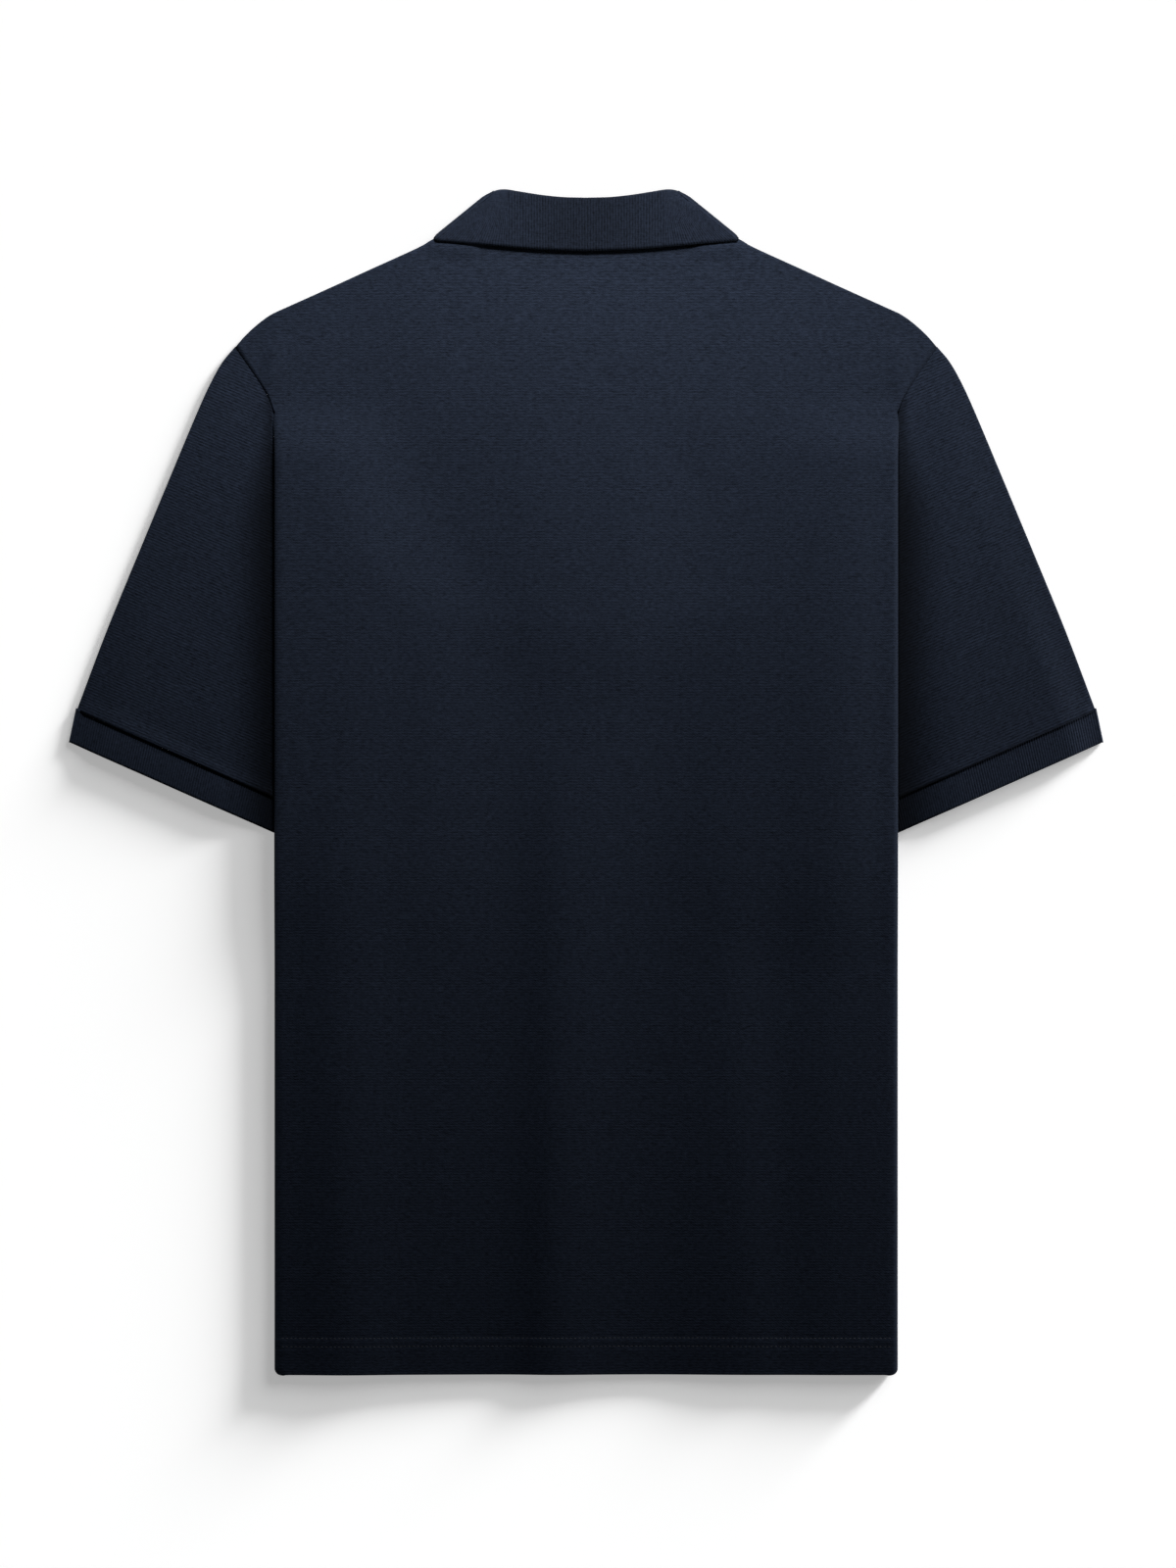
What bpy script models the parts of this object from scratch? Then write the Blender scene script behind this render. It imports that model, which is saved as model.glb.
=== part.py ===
"""Short-sleeved polo shirt, laid face down with its sides and underarms turned under.

Lengths are in millimetres until cloth() turns them into metres. +X is the wearer's right, +Y
runs from hem to collar and +Z is up, with the shirt's front against the surface at Z = 0.
Each cloth piece is the middle surface of its wall, thickened by a Solidify modifier.
"""

from collections import namedtuple
from math import cos, hypot, pi, radians, sin

import bpy
import numpy as np

MM = 0.001
Point = namedtuple("Point", "x y")

# Cloth.
CLOTH = 1.0  # pique wall
KNIT = 1.5  # ribbed collar wall
SEAM = 0.3  # gap between pieces that are sewn together
LEVEL = CLOTH + SEAM  # from one layer's middle to the next
FLOOR_LAYER = CLOTH / 2
MATT = 0.95  # roughness of the cloth
SHARP = radians(50)  # an edge that bends more than this stays sharp

# Body, as it lies.
EDGE = 200.0  # half of the width between the turned sides
HEM = -380.8
SIDE_SEAM = 132.0  # where the turned-under sides end
ARMHOLE_MEETS_EDGE = Point(200.0, 237.0)
BACK_TURN = 1.5 * LEVEL  # radius of the outer layer where a side turns under
FRONT_TURN = 0.5 * LEVEL  # radius of the inner layer
TURN_START = EDGE - CLOTH / 2 - BACK_TURN
OPEN_TURN = 1.6  # cloth from there to the edge where a side opens out flat, but for its last
OPEN_END = 0.5

# Neck and placket.
NECK_HALF = 82.0
NECK_LIFT = 2.3  # what the collar's front leaf and the buttons raise the panels by
PLACKET_WIDTH = 32.0
PLACKET_FOOT = 113.0
BUTTON_Y = {"button_top": 252.0, "button_low": 190.0}
BUTTON_RADIUS = 5.7
BUTTON_THICK = 2.0
BUTTON_RIM = 0.6
HOLE_RADIUS = 0.8
HOLE_REACH = 1.35  # from the button's middle to a hole, both ways
BUTTONHOLE = Point(0.8, 13.0)

# Sleeve and cuff.
CUFF_WIDTH = 20.0
CUFF_SEAM_OUTER = Point(327.0, 44.8)
CUFF_SEAM_INNER = Point(173.3, -22.7)
CUFF_HEM_OUTER = Point(331.2, 24.6)
CUFF_HEM_INNER = Point(178.4, -43.0)

# Shoulder, from the neck point to the top of the armhole seam.
SHOULDER = (
    Point(NECK_HALF, 354.8),
    Point(98.0, 347.8),
    Point(106.0, 343.1),
    Point(201.8, 300.0),
    Point(212.1, 292.4),
    Point(220.0, 284.9),
    Point(225.4, 278.4),
)
# Armhole seam, from where it goes under the turned side up to the shoulder.
ARMHOLE = (
    ARMHOLE_MEETS_EDGE,
    Point(203.2, 245.1),
    Point(208.0, 253.2),
    Point(213.6, 261.5),
    Point(219.4, 269.9),
    Point(225.4, 278.4),
)
# Hidden lower armhole, from the underarm up to the turned side.
UNDERARM_CURVE = (
    Point(SIDE_SEAM, 105.0),
    Point(137.5, 113.0),
    Point(152.0, 130.0),
    Point(168.5, 150.0),
    Point(182.0, 170.0),
    Point(191.5, 190.0),
    Point(196.9, 205.0),
)
# Middle of the sleeve's outer fold, from the shoulder to the cuff seam.
SLEEVE_TOP = (
    Point(225.3, 277.2),
    Point(232.4, 269.0),
    Point(240.0, 255.7),
    Point(247.8, 238.8),
    Point(264.1, 200.0),
    Point(289.0, 140.0),
    Point(307.4, 95.0),
    Point(326.3, 44.8),
)
NECK_FRONT = (
    Point(0.0, 268.0),
    Point(16.0, 270.4),
    Point(40.0, 285.7),
    Point(62.0, 314.5),
    Point(NECK_HALF, 354.8),
)
NECK_BACK = (
    Point(0.0, 345.0),
    Point(16.0, 345.3),
    Point(40.0, 347.1),
    Point(62.0, 350.3),
    Point(NECK_HALF, 354.8),
)

# Collar: middle of the fold, from the centre to the side crease, and then down the front.
FOLD_BACK = (
    Point(0.0, 372.6),
    Point(16.0, 373.1),
    Point(30.0, 374.6),
    Point(44.0, 376.8),
    Point(53.0, 378.3),
    Point(59.0, 377.8),
)
FOLD_FRONT = (
    Point(59.0, 377.8),
    Point(60.0, 350.0),
    Point(50.0, 320.0),
    Point(29.0, 300.0),
    Point(3.0, 292.0),
)
LEAF_BACK = (
    Point(0.0, 340.0),
    Point(33.0, 341.2),
    Point(68.0, 344.2),
    Point(96.3, 346.6),
)
LEAF_FRONT = (Point(96.3, 346.6), Point(62.0, 250.0))
COLLAR_MIDDLE = 3.45  # height of the plane between the collar's back and front halves
STAND_TURN = 0.5 * (KNIT + SEAM)  # radius of the stand where it turns at the side crease
LEAF_TURN = 1.5 * (KNIT + SEAM)  # radius of the leaf there
COLLAR_SEAM = SEAM + 0.1  # gap between the collar's seam edge and the neckline
COLLAR_BACK_STEPS = tuple(x / NECK_HALF for x in (0, 8, 16, 28, 40, 51, 62, 72, 82))
COLLAR_FRONT_STEPS = (0.0, 0.12, 0.25, 0.38, 0.52, 0.67, 0.82, 1.0)
CREASE_STEPS = 6
STAND_STEPS = 2
FOLD_STEPS = 4
LEAF_STEPS = 3

# How the panels climb over the layers beneath them: where each climb starts, and where it ends.
SIDE_CLIMB = (-95.0, -15.0)  # x, from the inner end of the turned-under side
EDGE_CLIMB = (249.0, 205.0)  # y, where the side starts to turn under
SLEEVE_CLIMB = (-130.0, -50.0)  # y, over the hidden part of the sleeve
NECK_CLIMB = (76.0, 6.0)  # distance from the collar's front leaf and the buttons
PLACKET_CLIMB = (70.0, 0.0)  # distance from the inner placket band, beside it and below it
PLACKET_END = (330.0, 281.0)  # y, above the inner placket band
# Half of the outline of the collar's front leaf and the buttons, from the placket's foot upward.
NECK_LAYERS = (
    Point(PLACKET_WIDTH / 2, PLACKET_FOOT),
    Point(PLACKET_WIDTH / 2, 246.0),
    Point(62.0, 246.0),
    Point(100.0, 346.0),
    Point(62.0, 384.0),
)

# Grid of a body panel: columns from the centre to the turned side, rows from the hem upward.
COLUMNS = (0.0, 16.0, 40.0, 62.0, NECK_HALF, 102.0, 120.0, 138.0, 168.0, 190.0, TURN_START)
OUTER_COLUMN = 168.0  # columns beyond this one spread out to the armhole above the turned side
TURN_COLUMNS = 4
TURNED_COLUMNS = 3
ROWS = (HEM, -290.0, -210.0, -130.0, -105.0, -85.0, -65.0, -45.0, 0.0, 35.0, 70.0)
TURN_FADES = (205.0, 213.0, 221.0, 229.0, 237.0)  # rows over which the side opens out flat
TOP_ROWS = (0.2, 0.4, 0.6, 0.8, 1.0)  # shares of the way from the last row to neck and shoulder
SLEEVE_ROWS = 2  # along the last straight of the sleeve
CUFF_COLUMNS = 8
TUBE_TURN = 3  # steps round each fold of a flattened tube
TANGENT = 0.01  # share of a table of points on each side over which its direction is read

NAVY = (0.0122, 0.0168, 0.0284, 1.0)
HORN = (0.010, 0.012, 0.018, 1.0)


def ease(t):
    """Smooth step from 0 to 1."""
    t = min(max(t, 0.0), 1.0)
    return t * t * (3 - 2 * t)


def across(table, y):
    """The x of a table of points at height y."""
    points = sorted(table, key=lambda p: p.y)
    return float(np.interp(y, [p.y for p in points], [p.x for p in points]))


def height(table, x):
    """The y of a table of points at x."""
    return float(np.interp(x, [p.x for p in table], [p.y for p in table]))


def along(table, share):
    """The point a share of the way along a table of points."""
    xy = np.array(table)
    steps = np.hypot(*np.diff(xy, axis=0).T)
    travelled = np.concatenate([[0.0], np.cumsum(steps)]) / steps.sum()
    return Point(*(float(np.interp(share, travelled, xy[:, k])) for k in (0, 1)))


def beyond(x, y, outline):
    """Distance from (x, y) to a closed outline, 0 inside it."""
    inside = False
    nearest = float("inf")
    for a, b in zip(outline, outline[1:] + outline[:1]):
        edge = np.subtract(b, a)
        share = np.clip(np.dot(np.subtract((x, y), a), edge) / np.dot(edge, edge), 0, 1)
        nearest = min(nearest, float(np.hypot(*(np.subtract((x, y), a) - share * edge))))
        if (a.y > y) != (b.y > y) and x < a.x + (y - a.y) / (b.y - a.y) * (b.x - a.x):
            inside = not inside
    return 0.0 if inside else nearest


# ---------------------------------------------------------------- how the layers lift each other


def climb(value, start, end):
    """Smooth share of a climb from start, 0, to end, 1."""
    return ease((value - start) / (end - start))


def under_edge(y):
    """Share by which a side is turned under at this height, 0 to 1."""
    return climb(y, *EDGE_CLIMB)


def under_sleeve(y):
    """Share of the sleeve's two layers under a turned side at this height, 0 to 1."""
    return climb(y, *SLEEVE_CLIMB) * under_edge(y)


def side_lift(x, y):
    """What the turned side, and the sleeve below it, raise the panels above them by."""
    layers = 2 * LEVEL * (under_edge(y) + under_sleeve(y))
    return layers * climb(x - across(UNDERARM_CURVE, y), *SIDE_CLIMB)


def neck_lift(x, y):
    """What the collar's front leaf and the buttons raise the panels by."""
    outline = list(NECK_LAYERS) + [Point(-p.x, p.y) for p in reversed(NECK_LAYERS)]
    return NECK_LIFT * climb(beyond(x, y, outline), *NECK_CLIMB)


def placket_lift(x, y):
    """What the inner placket band raises the back panel by."""
    aside = climb(abs(x) - PLACKET_WIDTH / 2, *PLACKET_CLIMB)
    below = climb(PLACKET_FOOT - y, *PLACKET_CLIMB)
    return LEVEL * aside * below * climb(y, *PLACKET_END)


def front_height(x, y):
    """Middle of the front panel above the surface."""
    return FLOOR_LAYER + side_lift(x, y) + neck_lift(x, y)


def back_height(x, y):
    """Middle of the back panel above the surface."""
    return front_height(x, y) + LEVEL + placket_lift(x, y)


# ------------------------------------------------------------------------------- making the cloth


def material(name, colour, roughness):
    """A plain Principled material."""
    made = bpy.data.materials.new(name)
    made.use_nodes = True
    shader = made.node_tree.nodes["Principled BSDF"]
    shader.inputs["Base Color"].default_value = colour
    shader.inputs["Roughness"].default_value = roughness
    made.diffuse_color = colour
    return made


def cloth(name, sections, finish, wall=CLOTH, tube=False, skip=(), mirror=False):
    """Loft a middle surface through sections of points, and thicken it to its wall."""
    rows, columns = sections.shape[:2]
    faces = []
    for row in range(rows - 1):
        for column in range(columns if tube else columns - 1):
            if (row, column) in skip:
                continue
            after = (column + 1) % columns
            near, far = row * columns, (row + 1) * columns
            faces.append((near + column, near + after, far + after, far + column))
    used = sorted({corner for face in faces for corner in face})
    place = {corner: index for index, corner in enumerate(used)}
    points = (sections.reshape(-1, 3)[used] * MM).tolist()
    mesh = bpy.data.meshes.new(name)
    mesh.from_pydata(points, [], [tuple(place[corner] for corner in face) for face in faces])
    mesh.materials.append(finish)
    mesh.shade_smooth()
    mesh.set_sharp_from_angle(angle=SHARP)
    made = bpy.data.objects.new(name, mesh)
    if mirror:
        halves = made.modifiers.new("Both halves", "MIRROR")
        halves.merge_threshold = 0.0001
    walls = made.modifiers.new("Wall", "SOLIDIFY")
    walls.thickness = wall * MM
    walls.offset = 0.0
    walls.use_even_offset = True
    return made


def turned_side(x, y, z, radius):
    """Points from where a side starts to turn under, round the turn and back to the side seam."""
    opening = (y - TURN_FADES[0]) / (TURN_FADES[-1] - TURN_FADES[0])
    turn = min(max(1 - opening, 0.0), 1.0)
    angle = pi * turn
    length = OPEN_TURN * (1 - turn) + pi * radius * turn
    points = []
    for step in range(1, TURN_COLUMNS + 1):
        gone, swept = length * step / TURN_COLUMNS, angle * step / TURN_COLUMNS
        if turn > 0:
            bend = length / angle
            points.append((x + bend * sin(swept), y, z - bend * (1 - cos(swept))))
        else:
            points.append((x + gone, y, z))
    end = points[-1]
    rest = max(TURN_START - across(UNDERARM_CURVE, y), OPEN_END)
    for step in range(1, TURNED_COLUMNS + 1):
        gone = rest * step / TURNED_COLUMNS
        points.append((end[0] + gone * cos(angle), y, end[2] - gone * sin(angle)))
    return points


def panel_sections(neck, height_at, radius):
    """Rows of points of the right half of a body panel, from the hem to the neck and shoulder."""
    sections = []
    underarm_rows = tuple(p.y for p in UNDERARM_CURVE[:-1])
    for y in sorted(ROWS + TURN_FADES + underarm_rows):
        row = [(x, y, height_at(x, y)) for x in COLUMNS]
        row += turned_side(*row[-1], radius)
        sections.append(row)
    flat = np.array([p[0] for p in sections[-1]])
    spread = np.arange(len(flat)) - COLUMNS.index(OUTER_COLUMN)
    base = ARMHOLE_MEETS_EDGE.y
    for share, seam in zip(TOP_ROWS, ARMHOLE[1:]):
        short = seam.y - base - (height(SHOULDER, seam.x) - base) * share
        row = []
        for flat_x, even in zip(flat, spread / spread[-1]):
            reach = max(flat_x - OUTER_COLUMN, 0.0) / (EDGE - OUTER_COLUMN)
            reach += (max(even, 0.0) - reach) * share
            x = OUTER_COLUMN + (seam.x - OUTER_COLUMN) * reach if reach else flat_x
            top = height(neck, x) if x < NECK_HALF else height(SHOULDER, x)
            y = base + (top - base) * share + short * reach
            row.append((x, y, height_at(x, y)))
        sections.append(row)
    return np.array(sections)


def build_back(finish):
    """Back panel, which wraps outside the front one where the sides turn under."""
    sections = panel_sections(NECK_BACK, back_height, BACK_TURN)
    return cloth("back_panel", sections, finish, mirror=True)


def build_front(finish):
    """Front panel, with the slot that the placket fills."""
    sections = panel_sections(NECK_FRONT, front_height, FRONT_TURN)
    rows = range(len(sections) - 1)
    slot = [(row, 0) for row in rows if sections[row][0][1] >= PLACKET_FOOT]
    return cloth("front_panel", sections, finish, skip=slot, mirror=True)


def flat_ring(strip, outward, inward):
    """One ring of a flattened tube: over the top from fold to fold, and back underneath.

    strip runs from the outer fold to the inner one, and outward and inward are the directions
    in which those folds bulge.
    """
    radius = LEVEL / 2
    middle = FLOOR_LAYER + radius
    ring = [(p.x, p.y, middle + radius) for p in strip]
    for end, way, upright in ((strip[-1], inward, 1), (strip[0], outward, -1)):
        for step in range(1, TUBE_TURN):
            angle = pi * step / TUBE_TURN
            bulge = radius * sin(angle)
            level = middle + upright * radius * cos(angle)
            ring.append((end.x + way[0] * bulge, end.y + way[1] * bulge, level))
        if upright == 1:
            ring += [(p.x, p.y, middle - radius) for p in reversed(strip)]
    return ring


def across_line(start, end, turned):
    """Unit vector square to the line from start to end, turned +1 to its left or -1 to its right."""
    run, rise = end.x - start.x, end.y - start.y
    length = hypot(run, rise)
    return -rise / length * turned, run / length * turned


def across_table(table, share, turned):
    """Unit vector square to a table of points a share of the way along it."""
    return across_line(along(table, share - TANGENT), along(table, share + TANGENT), turned)


def mix(a, b, share):
    """The point a share of the way from a to b."""
    return Point(a.x + (b.x - a.x) * share, a.y + (b.y - a.y) * share)


def shares_of(table):
    """How far along a table of points each of its points lies, 0 to 1."""
    steps = np.hypot(*np.diff(np.array(table), axis=0).T)
    return [float(s) for s in np.concatenate([[0.0], np.cumsum(steps)]) / steps.sum()]


def sleeve_rings():
    """Rings of the right sleeve, from its armhole seam to its cuff seam."""
    away = across_line(ARMHOLE[0], ARMHOLE[-1], -1)
    seam = [Point(p.x + away[0] * SEAM, p.y + away[1] * SEAM) for p in ARMHOLE]
    beside = Point(EDGE + 3 * SEAM, TURN_FADES[0])  # clear of the body's turned edge
    head = [SLEEVE_TOP[0]] + seam[-2::-1] + [beside] + list(UNDERARM_CURVE[-2::-1])
    columns = shares_of(head)
    curve = shares_of(SLEEVE_TOP)[:-1]
    rows = curve + [curve[-1] + (1 - curve[-1]) * k / SLEEVE_ROWS for k in range(1, SLEEVE_ROWS + 1)]
    start, corner = head[-1], CUFF_SEAM_INNER
    inward = across_line(start, corner, -1)
    rings = []
    for row in rows:
        outer, inner = along(SLEEVE_TOP, row), mix(start, corner, row)
        strip = []
        for column, at_head in zip(columns, head):
            at_cuff = mix(SLEEVE_TOP[-1], corner, column)
            lengthways = mix(at_head, at_cuff, row)
            sideways = mix(outer, inner, column)
            ends = mix(mix(head[0], start, column), mix(SLEEVE_TOP[-1], corner, column), row)
            strip.append(
                Point(lengthways.x + sideways.x - ends.x, lengthways.y + sideways.y - ends.y)
            )
        rings.append(flat_ring(strip, across_table(SLEEVE_TOP, row, 1), inward))
    return np.array(rings)


def cuff_rings():
    """Rings of the right cuff, from its seam to its open end."""
    outward = across_line(CUFF_SEAM_OUTER, CUFF_HEM_OUTER, 1)
    inward = across_line(CUFF_SEAM_INNER, CUFF_HEM_INNER, -1)
    rings = []
    for row in (SEAM / CUFF_WIDTH, 0.5, 1.0):
        outer = mix(CUFF_SEAM_OUTER, CUFF_HEM_OUTER, row)
        inner = mix(CUFF_SEAM_INNER, CUFF_HEM_INNER, row)
        strip = [mix(outer, inner, column / CUFF_COLUMNS) for column in range(CUFF_COLUMNS + 1)]
        rings.append(flat_ring(strip, outward, inward))
    return np.array(rings)


def on_side(rings, side):
    """The same rings on the wearer's right (+1) or left (-1), wound so that they face out."""
    return rings if side > 0 else rings[:, ::-1] * (-1, 1, 1)


def seam_edge(neck, x):
    """The point of the collar's seam edge just above a neckline at x."""
    before, after = max(x - 1, 0.0), min(x + 1, NECK_HALF)
    up = across_line(Point(before, height(neck, before)), Point(after, height(neck, after)), 1)
    return Point(x + up[0] * COLLAR_SEAM if x else 0.0, height(neck, x) + up[1] * COLLAR_SEAM)


def collar_section(seam, fold, leaf, fold_up, around):
    """Points across the collar, from its seam edge over the fold to the leaf's edge.

    fold_up is the direction in which the fold bulges, and around is the angle swept round the
    side crease, 0 at the back and pi at the front.
    """
    turn = (STAND_TURN + LEAF_TURN) / 2 - STAND_TURN
    flat = [(mix(seam, fold, k / STAND_STEPS), STAND_TURN) for k in range(STAND_STEPS)]
    for step in range(FOLD_STEPS + 1):
        angle = pi * step / FOLD_STEPS
        bulge = turn * sin(angle)
        point = Point(fold.x + fold_up[0] * bulge, fold.y + fold_up[1] * bulge)
        flat.append((point, STAND_TURN + turn * (1 - cos(angle))))
    flat += [(mix(fold, leaf, k / LEAF_STEPS), LEAF_TURN) for k in range(1, LEAF_STEPS + 1)]
    out = across_line(FOLD_BACK[-1], LEAF_BACK[-1], 1)
    return [
        (p.x + out[0] * r * sin(around), p.y + out[1] * r * sin(around), COLLAR_MIDDLE + r * cos(around))
        for p, r in flat
    ]


def collar_sections():
    """Sections of the collar's right half, from the centre back to the centre front."""
    back, front = [], []
    for share in COLLAR_BACK_STEPS:
        fold, leaf = along(FOLD_BACK, share), along(LEAF_BACK, share)
        up = across_table(FOLD_BACK, share, 1) if share else (0.0, 1.0)
        back.append((seam_edge(NECK_BACK, NECK_HALF * share), fold, leaf, up))
    for share in COLLAR_FRONT_STEPS:
        x = NECK_HALF + (FOLD_FRONT[-1].x - NECK_HALF) * share
        fold, leaf = along(FOLD_FRONT, share), mix(*LEAF_FRONT, share)
        front.append((seam_edge(NECK_FRONT, x), fold, leaf, across_table(FOLD_FRONT, share, -1)))
    sections = [collar_section(*edges, 0.0) for edges in back]
    for step in range(1, CREASE_STEPS):
        share = step / CREASE_STEPS
        points = [mix(a, b, share) for a, b in zip(back[-1][:3], front[0][:3])]
        up = np.array(back[-1][3]) * (1 - share) + np.array(front[0][3]) * share
        sections.append(collar_section(*points, up, pi * share))
    sections += [collar_section(*edges, pi) for edges in front]
    return np.array(sections)


def build_placket(name, layer, finish, buttonholes=False):
    """One placket band, flat across the slot, with its buttonholes cut through if it has them."""
    half = PLACKET_WIDTH / 2 - SEAM
    slit, reach = BUTTONHOLE.x / 2, BUTTONHOLE.y / 2
    xs = (-half, -slit, slit, half)
    centres = sorted(BUTTON_Y.values()) if buttonholes else []
    ys = [PLACKET_FOOT + SEAM] + [y + way * reach for y in centres for way in (-1, 1)]
    level = FLOOR_LAYER + NECK_LIFT + LEVEL * layer
    rows = [[(x, y, level) for x in xs] for y in ys]
    rows.append([(x, height(NECK_FRONT, abs(x)) - SEAM, level) for x in xs])
    holes = [(1 + 2 * k, 1) for k in range(len(centres))]
    return cloth(name, np.array(rows), finish, skip=holes)


def build_drill(name, y):
    """Cutter for a button's four holes."""
    drills = []
    for side, end in ((-1, -1), (-1, 1), (1, -1), (1, 1)):
        bpy.ops.mesh.primitive_cylinder_add(
            vertices=10,
            radius=HOLE_RADIUS * MM,
            depth=BUTTON_THICK * 3 * MM,
            location=(side * HOLE_REACH * MM, (y + end * HOLE_REACH) * MM, 0.0),
        )
        drills.append(bpy.context.object)
    with bpy.context.temp_override(active_object=drills[0], selected_editable_objects=drills):
        bpy.ops.object.join()
    drill = drills[0]
    drill.name = name
    drill.hide_render = True
    drill.display_type = "WIRE"
    return drill


def build_button(name, y, finish, drill):
    """A four-hole button lying against the surface, with a rounded rim."""
    bpy.ops.mesh.primitive_cylinder_add(
        vertices=28,
        radius=BUTTON_RADIUS * MM,
        depth=BUTTON_THICK * MM,
        location=(0.0, y * MM, BUTTON_THICK / 2 * MM),
    )
    button = bpy.context.object
    button.name = button.data.name = name
    button.data.materials.append(finish)
    button.data.shade_smooth()
    button.data.set_sharp_from_angle(angle=SHARP)
    rim = button.modifiers.new("Rim", "BEVEL")
    rim.width = BUTTON_RIM * MM
    rim.segments = 2
    holes = button.modifiers.new("Holes", "BOOLEAN")
    holes.object = drill
    holes.solver = "EXACT"
    return button


def move_to(collection, made):
    """Put an object in one collection only."""
    for old in list(made.users_collection):
        old.objects.unlink(made)
    collection.objects.link(made)


def build_shirt():
    """Build every piece and file it in the shirt's collection."""
    for old in list(bpy.data.objects):
        bpy.data.objects.remove(old, do_unlink=True)
    shirt = bpy.data.collections.new("Polo shirt")
    cutters = bpy.data.collections.new("Cutters")
    for made in (shirt, cutters):
        bpy.context.scene.collection.children.link(made)

    pieces = [
        build_back(material("back pique", NAVY, MATT)),
        build_front(material("front pique", NAVY, MATT)),
        cloth(
            "collar",
            collar_sections(),
            material("collar rib", NAVY, MATT),
            wall=KNIT,
            mirror=True,
        ),
        build_placket("placket_over", 0, material("outer placket pique", NAVY, MATT), True),
        build_placket("placket_under", 1, material("inner placket pique", NAVY, MATT)),
    ]
    for side, name in ((1, "right"), (-1, "left")):
        sleeve = material(f"{name} sleeve pique", NAVY, MATT)
        cuff = material(f"{name} cuff rib", NAVY, MATT)
        pieces.append(cloth(f"sleeve_{name}", on_side(sleeve_rings(), side), sleeve, tube=True))
        pieces.append(cloth(f"cuff_{name}", on_side(cuff_rings(), side), cuff, tube=True))
    for name, y in BUTTON_Y.items():
        drill = build_drill(f"{name} holes", y)
        finish = material(f"{name} plastic", HORN, 0.35)
        pieces.append(build_button(name, y, finish, drill))
        move_to(cutters, drill)
    for piece in pieces:
        move_to(shirt, piece)


build_shirt()
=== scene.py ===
"""Dressed model of a short-sleeved polo shirt that lies face down with its sides turned under."""

import logging
import math
from dataclasses import dataclass, field
from enum import Enum

import bpy
import numpy as np
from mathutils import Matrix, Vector


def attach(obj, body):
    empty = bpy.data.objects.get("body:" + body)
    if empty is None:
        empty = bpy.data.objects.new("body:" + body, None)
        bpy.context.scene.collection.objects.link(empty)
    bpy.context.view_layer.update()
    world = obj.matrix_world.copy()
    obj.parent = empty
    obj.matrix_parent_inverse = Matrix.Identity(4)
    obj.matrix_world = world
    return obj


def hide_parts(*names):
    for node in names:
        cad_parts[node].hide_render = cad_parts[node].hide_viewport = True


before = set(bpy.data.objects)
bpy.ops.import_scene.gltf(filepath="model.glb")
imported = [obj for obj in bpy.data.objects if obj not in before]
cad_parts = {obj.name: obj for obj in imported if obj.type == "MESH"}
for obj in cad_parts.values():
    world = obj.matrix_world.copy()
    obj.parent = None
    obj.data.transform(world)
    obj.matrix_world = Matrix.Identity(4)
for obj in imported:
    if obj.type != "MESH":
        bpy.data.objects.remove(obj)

LOG = logging.getLogger("polo_shirt")
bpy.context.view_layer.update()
MM = 0.001
# Name of the mesh attribute that holds painted shade: a factor that darkens the cloth's colour where shade
# falls.
SHADE = "shade"
RIBS = "ribs"
RIB_STEPS = 4
PROUD = 0.02

Span = tuple[float, float]
Points = tuple[Span, ...]
Three = tuple[float, float, float]
Colour = tuple[float, float, float, float]
Socket = bpy.types.NodeSocket
Paths = list[np.ndarray]


class Side(Enum):
    """The wearer's side, as the sign of its X."""

    RIGHT = 1
    LEFT = -1


class Grain(Enum):
    """Direction of the knit's columns, in degrees from +Y."""

    BODY = 0.0
    SLEEVE_RIGHT = 23.0
    SLEEVE_LEFT = -23.0


def ease(t: np.ndarray | float) -> np.ndarray:
    """Smooth step from 0 to 1."""
    t = np.clip(t, 0.0, 1.0)
    return t * t * (3 - 2 * t)


def climb(value: np.ndarray | float, start: float, end: float) -> np.ndarray:
    """Smooth share of a climb from start, 0, to end, 1."""
    return ease((np.asarray(value, dtype=float) - start) / (end - start))


def slope(value: np.ndarray | float, span: Span) -> np.ndarray:
    """Smooth share of a climb, given by its start and its length, which is below 0 for a fall."""
    start, length = span
    return ease((value - start) / length)


def unit(vectors: np.ndarray) -> np.ndarray:
    """The same vectors at length 1."""
    length = np.linalg.norm(vectors, axis=-1, keepdims=True)
    return vectors / np.maximum(length, 1e-9)


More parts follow.
